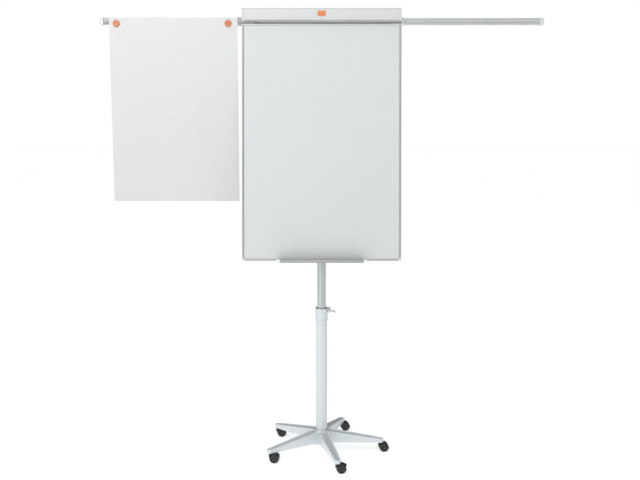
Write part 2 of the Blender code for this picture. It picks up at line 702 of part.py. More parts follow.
def left_arm():
    """Bar in the front lane: two flanges behind the rail's lips, and a rib that stands out between them."""
    low, high = ARM
    back, front = LEFT_LANE
    foot, head = ARM_RIB
    points = [(back, low), (front, low), (front, foot), (RIB_FRONT, foot), (RIB_FRONT, head)]
    points += [(front, head), (front, high), (back, high)]
    bar = ARM_REACH - ARM_CAP - GAP
    return strip(points, -bar, -bar + ARM_LENGTH)


def right_arm():
    """Bar in the back lane, with a groove along its face and a channel in its back."""
    low, high = ARM
    back, front = RIGHT_LANE
    middle, groove = 0.5 * (low + high), front - 0.0015
    points = [(back, low), (front, low), (front, middle - 0.004), (groove, middle - 0.002)]
    points += [(groove, middle + 0.002), (front, middle + 0.004), (front, high), (back, high)]
    web, flange = back + 0.006, 0.0025
    points += [(back, high - flange), (web, high - flange), (web, low + flange), (back, low + flange)]
    bar = ARM_REACH - ARM_CAP - GAP
    return strip(points, bar - ARM_LENGTH, bar)


def arm_cap(side, lane, front):
    """Rounded end cap, a little larger than its bar, so that it stops at the guide."""
    low, high = ARM[0] - 0.0012, ARM[1] + 0.0012
    middle, half = 0.5 * (low + high), 0.5 * (high - low)
    start = ARM_REACH - ARM_CAP
    bend = 0.009
    outline = [(start, high)] + arc((ARM_REACH - bend, high - bend), bend, 90, 0, 5)
    outline += arc((ARM_REACH - bend, low + bend), bend, 0, -90, 5) + [(start, low)]
    outline = [(side * x, z - DROP) for x, z in outline]
    return along_y(outline, -(FACE + front), -(FACE + lane[0] - 0.0006))


def sheet_outline():
    """The sheet's section in world (y, z): along the arm's leaning face, then straight down."""
    def world(offset, height):
        y, z = outline_on_board([(offset, height)])[0]
        return (y * cos(LEAN) + z * sin(LEAN), PIVOT - y * sin(LEAN) + z * cos(LEAN))

    face = RIB_FRONT + GAP
    leaning = SHEET_TOP - ARM_RIB[0]
    front = face + SHEET_THICK
    top, bend = world(face, SHEET_TOP), world(face, ARM_RIB[0])
    foot = (bend[0], bend[1] - (SHEET[1] - leaning))
    front_top, front_bend = world(front, SHEET_TOP), world(front, ARM_RIB[0])
    return [top, front_top, front_bend, (foot[0] - SHEET_THICK, foot[1]), foot, bend]


def build_arms(board):
    place("left_arm", left_arm(), ALUMINIUM, board)
    place("left_arm_cap", arm_cap(-1, LEFT_LANE, RIB_FRONT + 0.0005), PLASTIC_GREY, board)
    place("right_arm", right_arm(), ALUMINIUM, board)
    place("right_arm_cap", arm_cap(1, RIGHT_LANE, RIGHT_LANE[1] + 0.0010), PLASTIC_GREY, board)
    left = SHEET_RIGHT - SHEET[0]
    place("display_sheet", along_x(sheet_outline(), left, SHEET_RIGHT), PAPER)
    start = FACE + RIB_FRONT + SHEET_THICK + 2 * GAP
    profile = [(0, 0), (MAGNET_RADIUS, 0), (MAGNET_RADIUS, MAGNET_THICK - 0.002)]
    profile += [(MAGNET_RADIUS - 0.002, MAGNET_THICK), (0, MAGNET_THICK)]
    disc_shape = moved(lathe(profile, 24), Matrix.Rotation(pi / 2, 4, "X"))
    places = (("left", left + MAGNET_INSET[0]), ("right", SHEET_RIGHT - MAGNET_INSET[1]))
    for name, x in places:
        place(f"magnet_{name}", disc_shape.copy(), ORANGE, board, (x, -start, MAGNET_AT - DROP))


def main():
    clear_scene()
    build_base()
    build_mast()
    axis = build_tilt()
    board = empty("board_frame", (0, 0, 0), axis, rotation=(-LEAN, 0, 0))
    build_frame(board)
    build_header(board)
    build_tray(board)
    build_arms(board)


main()
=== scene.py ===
"""Looks of the mobile flipchart easel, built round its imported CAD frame.

Metres, +Z up, the floor at z = 0 and the front at -Y. Pieces of the board are made in the board's own
frame: x across it, y behind its writing face (so what stands ahead of the face is negative) and z up
from its bottom edge. Casters are made round their axle, with the stem at -X.
"""

import json
from math import atan2, cos, pi, radians, sin, sqrt, tan

import bmesh
import bpy
from mathutils import Matrix, Vector


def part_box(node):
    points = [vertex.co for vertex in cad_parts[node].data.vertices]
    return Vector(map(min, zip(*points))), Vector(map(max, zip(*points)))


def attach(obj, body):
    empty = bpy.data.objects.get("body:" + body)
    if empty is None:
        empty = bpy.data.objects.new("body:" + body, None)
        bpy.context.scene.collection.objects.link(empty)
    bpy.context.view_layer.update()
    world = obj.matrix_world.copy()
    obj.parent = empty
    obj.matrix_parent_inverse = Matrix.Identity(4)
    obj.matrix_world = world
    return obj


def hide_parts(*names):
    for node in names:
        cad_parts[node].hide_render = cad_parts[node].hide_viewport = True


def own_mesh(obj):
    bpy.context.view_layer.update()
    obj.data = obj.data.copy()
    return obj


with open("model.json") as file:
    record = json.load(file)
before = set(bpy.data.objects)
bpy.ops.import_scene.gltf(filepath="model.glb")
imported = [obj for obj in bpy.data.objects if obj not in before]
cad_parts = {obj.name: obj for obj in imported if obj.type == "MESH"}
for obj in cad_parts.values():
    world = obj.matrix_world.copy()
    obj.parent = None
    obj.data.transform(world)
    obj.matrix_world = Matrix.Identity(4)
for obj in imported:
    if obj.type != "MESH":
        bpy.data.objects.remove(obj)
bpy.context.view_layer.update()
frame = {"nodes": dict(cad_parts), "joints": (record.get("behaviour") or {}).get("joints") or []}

# Camera: place, pitch below the horizon, turn, and lens on a 36 mm sensor.
CAMERA_AT = (-0.002, -4.074, 1.643)
CAMERA_PITCH = radians(8.73)
CAMERA_TURN = radians(0.075)
CAMERA_LENS = 50.1

# Studio: the world's strength from -1 to +1 along each axis, and each softbox's place, aim, size
# and power.
WORLD_SPAN = {"X": (1.00, 0.54), "Y": (1.05, 0.22), "Z": (0.44, 1.08)}
FLOOR_GLOW = 0.55  # keeps the floor as white as the wall behind it
SOFTBOXES = {
    "key": ((-1.4, -1.6, 3.1), (-0.1, 0, 1.7), (1.0, 0.7), 17),
    "strip": ((-1.9, -2.2, 0.45), (0, 0, 0.6), (0.30, 0.9), 5),
    "fill": ((2.8, -2.6, 2.0), (0, 0, 0.9), (0.8, 2.0), 6),
    "top": ((0.0, -0.8, 4.2), (0, 0, 1.4), (2.4, 2.4), 12),
}

GAP = 0.0003  # between pieces that touch
SMOOTH = 35  # edges sharper than this many degrees stay sharp
SIDES = (("left", -1), ("right", 1))

# Base.
LEGS = 5
HUB_SHOULDER = 0.0975
LEG_TOP = (0.101, 0.0620)  # at the hub, at the tip
LEG_FOOT = (0.045, 0.0453)
LEG_WIDTH = (0.046, 0.030)
LEG_RIDGE, LEG_GROOVE, LEG_WALL = 0.0056, 0.0040, 0.0030
STEM_AT = 0.280

# Casters.
HOOD_RADIUS, HOOD_WALL, HOOD_ENDS = 0.0228, 0.0015, (-14, 194)
CASTER_HALF = 0.0195
WEB_HALF = 0.0043
AXLE_RADIUS = 0.0030
PEDAL_HALF, PEDAL_THICK = 0.0080, 0.0032

# Mast: tube walls, and the collar's lugs and slot.
OUTER_WALL, INNER_WALL = 0.0025, 0.0020
LUG_REACH, LUG_HALF, LUG_LOW = 0.043, 0.0095, 0.675
SLOT_HALF = 0.0015

# Bracket's ears, on either side of the tilt head.
EAR_INNER, EAR_OUTER = 0.0270, 0.0300

# Board frame and arm rail, in offsets ahead of the writing face and heights up the board.
FRAME_WIDTH, FRAME_LIP = 0.0090, 0.0030
PANEL_EDGE, PANEL_THICK, PANEL_STEP = 0.0070, 0.0100, 0.0005
GROOVE_MOUTH = GAP - PANEL_STEP  # front side of the groove that holds the panel's rim
SHALLOW = 0.001  # how much less deep that groove is along the bottom
RAIL_MOUTH = (1.0590, 1.0700)
RAIL_CAVITY = (1.0572, 1.0888)
RAIL_LIP, RAIL_WALL = 0.0025, 0.0025
LANE_ROOM = 0.0004  # round an arm in its guide
ARM_RIB = (1.0597, 1.0693)
ARM_BASE = 0.0070  # depth of the left arm without its rib
FLAP_THICK = 0.0022
HINGE = (-0.0095, 1.1205)
ROD_RADIUS = 0.0025
TRAY_WALL = 0.0018
CORNER_BEND = 0.0045

# Hung sheet.
SHEET = (0.575, 0.8235)
SHEET_THICK = 0.0005
SHEET_BEND = 0.030  # radius of the soft bend where it leaves the arm


# ---------------------------------------------------------------- the frame's own places


def joint(name):
    return next(j for j in frame["joints"] if j["name"] == name)


def spot(name):
    return Vector(joint(name)["pos_m"])


def nearest_box(node, inverse):
    """(lowest, highest) corner of a CAD node in another frame."""
    points = [inverse @ v.co for v in frame["nodes"][node].data.vertices]
    low = Vector([min(p[i] for p in points) for i in range(3)])
    high = Vector([max(p[i] for p in points) for i in range(3)])
    return low, high


def reaches(low, high):
    """How near to the middle plane x = 0 a box comes, and how far from it."""
    return sorted((abs(low.x), abs(high.x)))


AXLE_HEIGHT = joint("wheels_1_roll")["pos_m"][2]
PIVOT = spot("board_tilt")
LEAN = radians(joint("board_tilt")["range_deg"][1])  # the board stands upright at that limit
LEANING = Matrix.Translation(PIVOT) @ Matrix.Rotation(-LEAN, 4, "X")
FACE_AT = nearest_box("board_panel", LEANING.inverted())[0].y
BOTTOM_AT = nearest_box("frame_bottom", LEANING.inverted())[0].z
BOARD = LEANING @ Matrix.Translation((0, FACE_AT, BOTTOM_AT))


def board_box(node):
    return nearest_box(node, BOARD.inverted())


def caster_place(number):
    """Axle frame of a caster: origin on the axle, y along it, and the stem at -X."""
    roll = joint(f"wheels_{number}_roll")
    y = Vector(roll["axis"])
    x = Vector((y.y, -y.x, 0))
    place = Matrix((x, y, (0, 0, 1))).transposed().to_4x4()
    return Matrix.Translation(roll["pos_m"]) @ place


# ---------------------------------------------------------------- mesh tools


def arc(centre, radius, start, end, steps):
    """Points on an arc, in degrees, ends included."""
    angles = [radians(start + (end - start) * i / steps) for i in range(steps + 1)]
    return [(centre[0] + radius * cos(a), centre[1] + radius * sin(a)) for a in angles]


def rounded(outline, radius=0.0, steps=4):
    """The closed outline with rounded corners; a point's own radius may follow its two numbers."""
    points = []
    for i, corner in enumerate(outline):
        here = Vector(corner[:2])
        wanted = corner[2] if len(corner) > 2 else radius
        before = Vector(outline[i - 1][:2]) - here
        after = Vector(outline[(i + 1) % len(outline)][:2]) - here
        angle = before.angle(after)
        if wanted <= 0 or angle > radians(178):
            points.append(tuple(here))
            continue
        reach = min(wanted / tan(angle / 2), 0.48 * before.length, 0.48 * after.length)
        bend = reach * tan(angle / 2)
        start = here + before.normalized() * reach
        centre = here + (before.normalized() + after.normalized()).normalized() * bend / sin(angle / 2)
        arm = start - centre
        turn = pi - angle
        if before.x * after.y - before.y * after.x > 0:
            turn = -turn
        for k in range(steps + 1):
            c, s = cos(turn * k / steps), sin(turn * k / steps)
            points.append((centre.x + c * arm.x - s * arm.y, centre.y + s * arm.x + c * arm.y))
    return points


def rectangle(x0, y0, x1, y1, *bends):
    """Corners from (x0, y0) by way of (x1, y0), each with its own radius where those are given."""
    corners = [(x0, y0), (x1, y0), (x1, y1), (x0, y1)]
    return [(*corner, bend) for corner, bend in zip(corners, bends)] if bends else corners


def groove(face, at, mouth, floor, depth, mouth_bend, floor_bend):
    """Outline points of a groove, with the half widths of its mouth and of its floor."""
    lips = [(face, at - mouth, mouth_bend), (face, at + mouth, mouth_bend)]
    sunk = [(face - depth, at - floor, floor_bend), (face - depth, at + floor, floor_bend)]
    return [lips[0], *sunk, lips[1]]


def loft(rings):
    """Closed solid through rings of equal point counts, capped at both ends."""
    bm = bmesh.new()
    rows = [[bm.verts.new(p) for p in ring] for ring in rings]
    for low, high in zip(rows, rows[1:]):
        for i in range(len(low)):
            j = (i + 1) % len(low)
            bm.faces.new((low[i], low[j], high[j], high[i]))
    bm.faces.new(list(reversed(rows[0])))
    bm.faces.new(rows[-1])
    bmesh.ops.recalc_face_normals(bm, faces=bm.faces)
    return bm


def turned(profile, steps, bend_steps=3, shape=None):
    """Solid of revolution about Z from a closed loop of (radius, z, bend); shape may change a z."""
    profile = rounded(profile, steps=bend_steps)
    bm = bmesh.new()
    columns = []
    for i in range(steps):
        turn = 2 * pi * i / steps
        column = []
        for r, z in profile:
            height = shape(turn, r, z) if shape else z
            column.append(bm.verts.new((r * cos(turn), r * sin(turn), height)))
        columns.append(column)
    for i, column in enumerate(columns):
        after = columns[(i + 1) % steps]
        for j in range(len(profile)):
            k = (j + 1) % len(profile)
            if profile[j][0] == 0 and profile[k][0] == 0:
                continue
            ring = [column[j], after[j], after[k], column[k]]
            if profile[j][0] == 0:
                ring.remove(after[j])
            if profile[k][0] == 0:
                ring.remove(after[k])
            bm.faces.new(ring)
    bmesh.ops.remove_doubles(bm, verts=bm.verts, dist=1e-7)
    bmesh.ops.recalc_face_normals(bm, faces=bm.faces)
    return bm


def disc(radius, low, high, edge=0.0, steps=64):
    """Round bar or disc along Z with rounded rims."""
    profile = [(0, low, 0), (radius, low, edge), (radius, high, edge), (0, high, 0)]
    return turned(profile, steps)


def across(outline, start, end):
    """Prism along the board from an outline of (ahead of the face, height)."""
    return loft([[(x, -ahead, up) for ahead, up in outline] for x in (start, end)])


def through(outline, start, end):
    """Prism along Y from an outline of (x, z)."""
    return loft([[(x, y, z) for x, z in outline] for y in (start, end)])


def sideways(outline, start, end):
    """Prism along X from an outline of (y, z)."""
    return loft([[(x, y, z) for y, z in outline] for x in (start, end)])


def upright(outline, low, high):
    """Prism up from an outline of (x, y)."""
    return loft([[(x, y, z) for x, y in outline] for z in (low, high)])


def block(low, high):
    return upright(rectangle(low[0], low[1], high[0], high[1]), low[2], high[2])


def moved(bm, matrix):
    bm.transform(matrix)
    return bm


def shift(x, y, z):
    return Matrix.Translation((x, y, z))


TO_X = Matrix.Rotation(pi / 2, 4, "Y")
TO_Y = Matrix.Rotation(-pi / 2, 4, "X")
HALF_BORE = 0.05  # longer than any bored piece


def soften(bm, width, segments=3, angle=SMOOTH):
    """Rounds every edge that is sharper than the angle."""
    bm.normal_update()
    sharp = [e for e in bm.edges if len(e.link_faces) == 2 and e.calc_face_angle() > radians(angle)]
    bmesh.ops.bevel(
        bm, geom=sharp, offset=width, segments=segments, profile=0.5, affect="EDGES", clamp_overlap=True
    )
    return bm


def bar(outline, low, high):
    """Extrusion along the board between a box's two ends, with its edges broken."""
    return soften(across(rounded(outline, steps=3), low.x, high.x), 0.0002, 1, 60)


def two_tone(bm, is_second):
    """Gives a piece's second finish to the faces that the test picks by normal and centre."""
    bm.normal_update()
    for face in bm.faces:
        face.material_index = int(is_second(face.normal, face.calc_center_median()))
    return bm


def together(*parts):
    """Several meshes in one, left as they are."""
    bm = bmesh.new()
    for part in parts:
        mesh = bpy.data.meshes.new("part")
        part.to_mesh(mesh)
        part.free()
        bm.from_mesh(mesh)
        bpy.data.meshes.remove(mesh)
    return bm


def temporary(bm):
    mesh = bpy.data.meshes.new("temporary")
    bm.to_mesh(mesh)
    bm.free()
    item = bpy.data.objects.new("temporary", mesh)
    bpy.context.collection.objects.link(item)
    return item


def carved(bm, added=(), removed=()):
    """The mesh with other meshes joined to it and cut from it."""
    target = temporary(bm)
    tools = []
    for other, operation in [(b, "UNION") for b in added] + [(b, "DIFFERENCE") for b in removed]:
        tool = temporary(other)
        tools.append(tool)
        step = target.modifiers.new(operation, "BOOLEAN")
        step.object = tool
        step.operation = operation
        step.solver = "EXACT"
    graph = bpy.context.evaluated_depsgraph_get()
    result = bpy.data.meshes.new_from_object(target.evaluated_get(graph))
    for item in [target, *tools]:
        bpy.data.objects.remove(item, do_unlink=True)
    made = bmesh.new()
    made.from_mesh(result)
    bmesh.ops.remove_doubles(made, verts=made.verts, dist=1e-6)
    bmesh.ops.dissolve_degenerate(made, edges=made.edges, dist=1e-6)
    return made


def piece(name, bm, finish, body, replaces=(), place=None, smooth=SMOOTH):
    """A shown piece: its mesh, finishes, the body it rides on and the CAD nodes it stands for."""
    mesh = bpy.data.meshes.new(name)
    if place is not None:
        bm.transform(place)
    bm.to_mesh(mesh)
    bm.free()
    for material in finish if isinstance(finish, (list, tuple)) else [finish]:
        mesh.materials.append(material)
    mesh.shade_smooth()
    mesh.set_sharp_from_angle(angle=radians(smooth))
    item = bpy.data.objects.new(name, mesh)
    bpy.context.collection.objects.link(item)
    even = item.modifiers.new("even_shading", "WEIGHTED_NORMAL")
    even.keep_sharp = True
    even.weight = 60
    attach(item, body)
    if replaces:
        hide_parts(*([replaces] if isinstance(replaces, str) else replaces))
    return item


def on_board(name, bm, finish, replaces, body="board", smooth=SMOOTH):
    return piece(name, bm, finish, body, replaces, BOARD, smooth)


# ---------------------------------------------------------------- finishes


def ramp(tree, source, span, low=0.0, high=1.0):
    """Node that takes the source's span to low..high."""
    node = tree.nodes.new("ShaderNodeMapRange")
    for label, value in zip(("From Min", "From Max", "To Min", "To Max"), (*span, low, high)):
        node.inputs[label].default_value = value
    tree.links.new(source, node.inputs["Value"])
    return node


class Finish:
    """A Principled material with short ways to vary it over the surface."""

    def __init__(self, name, colour, roughness, metallic=0.0):
        self.material = bpy.data.materials.new(name)
        self.material.use_nodes = True
        self.tree = self.material.node_tree
        self.shader = self.tree.nodes["Principled BSDF"]
        self.shader.inputs["Metallic"].default_value = metallic
        self.shader.inputs["Roughness"].default_value = roughness
        self.shader.inputs["Base Color"].default_value = (*colour, 1.0)
        self.normal = None

    def set(self, **values):
        for name, value in values.items():
            self.shader.inputs[name.replace("_", " ")].default_value = value
        return self

    def noise(self, scale, detail=3.0, stretch=(1, 1, 1), rough=0.55):
        """Noise in the object's own place, drawn out where stretch is small."""
        nodes, links = self.tree.nodes, self.tree.links
        where = nodes.new("ShaderNodeTexCoord")
        mapping = nodes.new("ShaderNodeMapping")
        mapping.inputs["Scale"].default_value = stretch
        texture = nodes.new("ShaderNodeTexNoise")
        texture.inputs["Scale"].default_value = scale
        texture.inputs["Detail"].default_value = detail
        texture.inputs["Roughness"].default_value = rough
        links.new(where.outputs["Object"], mapping.inputs["Vector"])
        links.new(mapping.outputs["Vector"], texture.inputs["Vector"])
        return texture.outputs["Fac"]

    def cells(self, scale):
        nodes, links = self.tree.nodes, self.tree.links
        where = nodes.new("ShaderNodeTexCoord")
        texture = nodes.new("ShaderNodeTexVoronoi")
        texture.inputs["Scale"].default_value = scale
        links.new(where.outputs["Object"], texture.inputs["Vector"])
        return texture.outputs["Distance"]

    def tint(self, first, second, source, span=(0.35, 0.65)):
        """Base colour between two colours, as the source goes over its span."""
        mix = self.tree.nodes.new("ShaderNodeMix")
        mix.data_type = "RGBA"
        mix.inputs[6].default_value = (*first, 1.0)
        mix.inputs[7].default_value = (*second, 1.0)
        share = ramp(self.tree, source, span)
        self.tree.links.new(share.outputs["Result"], mix.inputs[0])
        self.tree.links.new(mix.outputs[2], self.shader.inputs["Base Color"])
        return self

    def roughen(self, low, high, source, span=(0.3, 0.7)):
        share = ramp(self.tree, source, span, low, high)
        self.tree.links.new(share.outputs["Result"], self.shader.inputs["Roughness"])
        return self

    def bump(self, source, depth, strength=1.0):
        """Raises the surface by depth, on top of any bump that is there already."""
        nodes, links = self.tree.nodes, self.tree.links
        relief = nodes.new("ShaderNodeBump")
        relief.inputs["Distance"].default_value = depth
        relief.inputs["Strength"].default_value = strength
        links.new(source, relief.inputs["Height"])
        if self.normal is not None:
            links.new(self.normal, relief.inputs["Normal"])
        self.normal = relief.outputs["Normal"]
        links.new(self.normal, self.shader.inputs["Normal"])
        return self


def shade(colour, share):
    return tuple(c * share for c in colour)


def silver_coat(name, colour, metallic):
    """Powder-coated metal: a fine orange peel over a silver with small flakes."""
    coat = Finish(name, colour, 0.40, metallic)
    coat.tint(shade(colour, 0.94), shade(colour, 1.05), coat.noise(2600, 2))
    coat.roughen(0.34, 0.46, coat.noise(60, 4))
    coat.bump(coat.noise(750, 2), 0.00006, 0.5)
    coat.bump(coat.noise(35, 2), 0.0002, 0.2)
    return coat.set(Coat_Weight=0.15, Coat_Roughness=0.25).material


def drawn_metal(name, colour, along, roughness=(0.28, 0.40), metallic=0.9):
    """Anodised extrusion: streaks run along one axis."""
    stretch = tuple(0.006 if axis == along else 1.0 for axis in "XYZ")
    metal = Finish(name, colour, roughness[0], metallic)
    streaks = metal.noise(900, 4, stretch)
    metal.tint(shade(colour, 0.90), shade(colour, 1.06), streaks)
    metal.roughen(*roughness, metal.noise(260, 3, stretch))
    metal.bump(streaks, 0.00004, 0.6)
    return metal.material


def bright_steel():
    """Zinc-plated steel of the small turned and pressed pieces."""
    colour = (0.60, 0.61, 0.62)
    steel = Finish("bright_steel", colour, 0.25, 1.0)
    steel.tint(shade(colour, 0.85), shade(colour, 1.08), steel.noise(300, 4))
    steel.roughen(0.20, 0.38, steel.noise(500, 4))
    return steel.bump(steel.noise(1800, 2), 0.00002, 0.5).material


def moulded(name, colour, roughness, grain=0.00005, drift=0.06):
    """Moulded plastic with a fine spark-eroded grain; drift is how far its colour wanders."""
    plastic = Finish(name, colour, roughness)
    plastic.tint(shade(colour, 1 - drift), shade(colour, 1 + drift), plastic.noise(40, 3))
    plastic.roughen(roughness - 0.06, roughness + 0.08, plastic.noise(180, 3))
    plastic.bump(plastic.noise(1900, 2), grain, 0.6)
    return plastic.set(Specular_IOR_Level=0.5).material


def tyre():
    """Dark rubber, a little dusty where it has rolled."""
    colour = (0.030, 0.031, 0.033)
    rubber = Finish("tyre", colour, 0.62)
    rubber.tint(colour, (0.075, 0.074, 0.072), rubber.noise(120, 5), (0.45, 0.75))
    rubber.roughen(0.50, 0.75, rubber.noise(200, 3))
    return rubber.bump(rubber.noise(900, 3), 0.00012, 0.5).material


def lacquered_steel():
    """Whiteboard face: gloss lacquer with a faint waviness and wiping marks."""
    colour = (0.665, 0.679, 0.679)
    face = Finish("lacquered_steel", colour, 0.16)
    face.tint(shade(colour, 0.985), shade(colour, 1.01), face.noise(1.6, 2))
    face.roughen(0.13, 0.22, face.noise(5, 5, (0.35, 1, 1)))
    face.bump(face.noise(28, 2), 0.00006, 0.25)
    face.bump(face.noise(420, 2), 0.00001, 0.5)
    return face.set(Coat_Weight=0.35, Coat_Roughness=0.08).material


def galvanised():
    """Zinc-coated sheet on the board's back, with its soft spangle."""
    colour = (0.50, 0.51, 0.52)
    sheet = Finish("galvanised", colour, 0.42, 0.75)
    sheet.tint(shade(colour, 0.86), shade(colour, 1.08), sheet.cells(95), (0.1, 0.7))
    sheet.roughen(0.34, 0.52, sheet.cells(70), (0.1, 0.7))
    return sheet.bump(sheet.noise(600, 2), 0.00003, 0.5).material


def chart_paper():
    """Uncoated paper: cloudy formation and fibre tooth."""
    colour = (0.665, 0.672, 0.672)
    paper = Finish("chart_paper", colour, 0.72)
    paper.tint(shade(colour, 0.985), shade(colour, 1.015), paper.noise(85, 5))
    paper.roughen(0.66, 0.80, paper.noise(300, 3))
    paper.bump(paper.noise(1500, 5), 0.00004, 0.5)
    return paper.set(Specular_IOR_Level=0.25).material


def orange_plastic(name, colour):
    """Bright moulded cap of the magnets and the badge."""
    plastic = Finish(name, colour, 0.32)
    plastic.tint(shade(colour, 0.90), shade(colour, 1.08), plastic.noise(220, 4))
    plastic.roughen(0.26, 0.40, plastic.noise(400, 3))
    plastic.bump(plastic.noise(1400, 2), 0.00003, 0.5)
    return plastic.set(Coat_Weight=0.3, Coat_Roughness=0.15).material


def floor_finish():
    """Pale studio floor with the faintest grain."""
    colour = (0.93, 0.93, 0.93)
    floor = Finish("studio_floor", colour, 0.85)
    floor.tint(shade(colour, 0.995), shade(colour, 1.0), floor.noise(6, 3))
    floor.set(Emission_Color=(1.0, 1.0, 1.0, 1.0), Emission_Strength=FLOOR_GLOW)
    return floor.set(Specular_IOR_Level=0.1).material


COAT = silver_coat("silver_coat", (0.665, 0.705, 0.725), 0.25)
# Painted highlight: a lighter copy of the silver coat on the legs' ridge tops, for the light they catch
# from overhead.
RIDGE_HIGHLIGHT = silver_coat("silver_coat_ridge_highlight", (0.84, 0.88, 0.90), 0.10)
STEEL = bright_steel()
TUBE = drawn_metal("satin_tube", (0.49, 0.535, 0.53), "Z", (0.28, 0.38), 0.6)
RAIL = drawn_metal("rail_extrusion", (0.80, 0.81, 0.81), "X", (0.42, 0.55), 0.35)
TRAY_FRONT = drawn_metal("tray_extrusion_front", (0.44, 0.45, 0.45), "X", (0.40, 0.52), 0.3)
# Painted shade: the tray's inside gets a near-black copy of its metal, for the shade in the trough.
TRAY_INSIDE_PAINTED_SHADE = drawn_metal("tray_extrusion_inside_painted_shade", (0.11, 0.115, 0.115), "X", (0.50, 0.62), 0.2)
# Painted light and shade on the left arm: a lighter copy of its metal off the rib, and a darker copy on
# the rib, which sits in the rail's shaded mouth.
ARM_PAINTED_LIGHT = drawn_metal("arm_extrusion_painted_light", (0.50, 0.505, 0.505), "X", (0.50, 0.62), 0.1)
ARM_PAINTED_SHADE = drawn_metal("arm_extrusion_painted_shade", (0.33, 0.335, 0.335), "X", (0.50, 0.62), 0.1)
ARM = drawn_metal("arm_extrusion", (0.66, 0.67, 0.67), "X")
EDGE_ALONG = drawn_metal("frame_extrusion_across", (0.53, 0.54, 0.54), "X")
EDGE_UP = drawn_metal("frame_extrusion_up", (0.53, 0.54, 0.54), "Z")
BLACK = moulded("caster_plastic", (0.022, 0.023, 0.025), 0.42)
KNOB = moulded("black_grip", (0.026, 0.026, 0.028), 0.50)
DARK = moulded("dark_plastic", (0.21, 0.215, 0.22), 0.48)
WHITE = moulded("white_plastic", (0.86, 0.865, 0.865), 0.40, drift=0.010)
GREY = moulded("grey_plastic", (0.40, 0.405, 0.41), 0.48)
PALE = moulded("pale_plastic", (0.64, 0.65, 0.65), 0.38, drift=0.015)
SHELL = moulded("header_shell", (0.64, 0.65, 0.65), 0.40, drift=0.010)
BRACKET = moulded("bracket_paint", (0.20, 0.205, 0.21), 0.45)
TYRE = tyre()
FACE = lacquered_steel()
ZINC = galvanised()
PAPER = chart_paper()
ORANGE = orange_plastic("magnet_orange", (0.62, 0.185, 0.065))
BADGE = orange_plastic("badge_orange", (0.70, 0.225, 0.080))


# ---------------------------------------------------------------- base


def hub():
    """Centre of the star: a short drum whose mouth dips away from the tube."""
    low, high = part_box("base_hub")
    radius, top = high.x, high.z
    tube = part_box("outer_tube")[1].x
    floor = low.z + 0.012
    profile = [(0, low.z + 0.004, 0), (radius * 0.62, low.z + 0.004, 0.0010)]
    profile += [(radius * 0.68, low.z + 0.0006, 0.0010), (radius - 0.001, low.z, 0.0016)]
    profile += [(radius, low.z + 0.0030, 0.0006), (radius - 0.0006, low.z + 0.0040, 0.0004)]
    profile += [(radius - 0.0006, HUB_SHOULDER, 0.0012), (tube + 0.0034, top, 0.0008)]
    profile += [(tube + 0.0018, top - 0.0006, 0.0004), (tube + 0.0014, top - 0.0080, 0)]
    profile += [(tube + GAP, top - 0.0095, 0), (tube + GAP, floor, 0), (0, floor, 0)]
    piece("hub_casting", turned(profile, 120), COAT, "base", "base_hub")


def between(pair, share):
    return pair[0] + (pair[1] - pair[0]) * share


def leg_ring(share, half, reach):
    """A leg's section: flat sides, two rounded ridges and the groove between them."""
    top, foot = between(LEG_TOP, share), between(LEG_FOOT, share)
    ridge = min(LEG_RIDGE, 0.5 * half)
    corners = [
        (0.90 * half, foot, 0.0010),
        (half, top, 0.0018),
        (half - ridge, top, 0.0014),
        (half - 1.4 * ridge, top - LEG_GROOVE, 0.0016),
    ]
    outline = rounded(corners + [(-y, z, r) for y, z, r in reversed(corners)], steps=4)
    return [(reach(y), y, z) for y, z in outline]


def leg_cells(start, end, width):
    """Hollows of the leg's underside, with cross ribs left between them."""
    ribs, rib_half = 4, 0.0011
    edges = [start + (end - start) * i / ribs for i in range(ribs + 1)]
    cells = []
    for low, high in zip(edges, edges[1:]):
        rings = []
        for x in (low + rib_half, high - rib_half):
            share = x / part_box("base_leg_1")[1].x
            half = width(x) * 0.9 - LEG_WALL
            top = between(LEG_TOP, share) - LEG_GROOVE - 2 * LEG_WALL
            rings.append([(x, half, 0.0), (x, half, top), (x, -half, top), (x, -half, 0.0)])
        cells.append(loft(rings))
    return cells


def leg():
    """One leg along +X. Its root is mitred, so that the ridges of neighbouring legs meet."""
    hub_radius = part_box("base_hub")[1].x
    end = max(v.co.xy.length for v in frame["nodes"]["base_leg_1"].data.vertices)
    nose = LEG_WIDTH[1] / 2
    straight = end - nose

    def share(x):
        return (x - hub_radius) / (end - hub_radius)

    def width(x):
        return between(LEG_WIDTH, share(x)) / 2

    # Picks the ridge tops, which take the painted highlight.
    def on_ridge_highlight(normal, centre):
        return normal.z > 0.25 and centre.z > between(LEG_TOP, share(centre.x)) - 0.0018

    mitre = tan(pi / LEGS)
    inner = hub_radius - 0.014
    rings = [leg_ring(0, width(hub_radius), lambda y: max(abs(y) / mitre, inner))]
    for i in range(9):
        x = hub_radius + 0.004 + (straight - hub_radius - 0.004) * i / 8
        rings.append(leg_ring(share(x), width(x), lambda y, x=x: x))
    for angle in (15, 30, 44, 56, 67, 77):
        x = straight + nose * sin(radians(angle))
        rings.append(leg_ring(share(x), width(straight) * cos(radians(angle)), lambda y, x=x: x))
    cells = leg_cells(hub_radius + 0.012, STEM_AT - 0.018, width)
    return two_tone(carved(loft(rings), removed=cells), on_ridge_highlight)


def build_base():
    hub()
    first = spot("caster_1_swivel")
    first_turn = atan2(first.y, first.x)
    for number in range(1, LEGS + 1):
        turn = Matrix.Rotation(first_turn + 2 * pi * (number - 1) / LEGS, 4, "Z")
        node = f"base_leg_{number}"
        piece(f"leg_casting_{number}", leg(), [COAT, RIDGE_HIGHLIGHT], "base", node, turn, 30)


# ---------------------------------------------------------------- casters


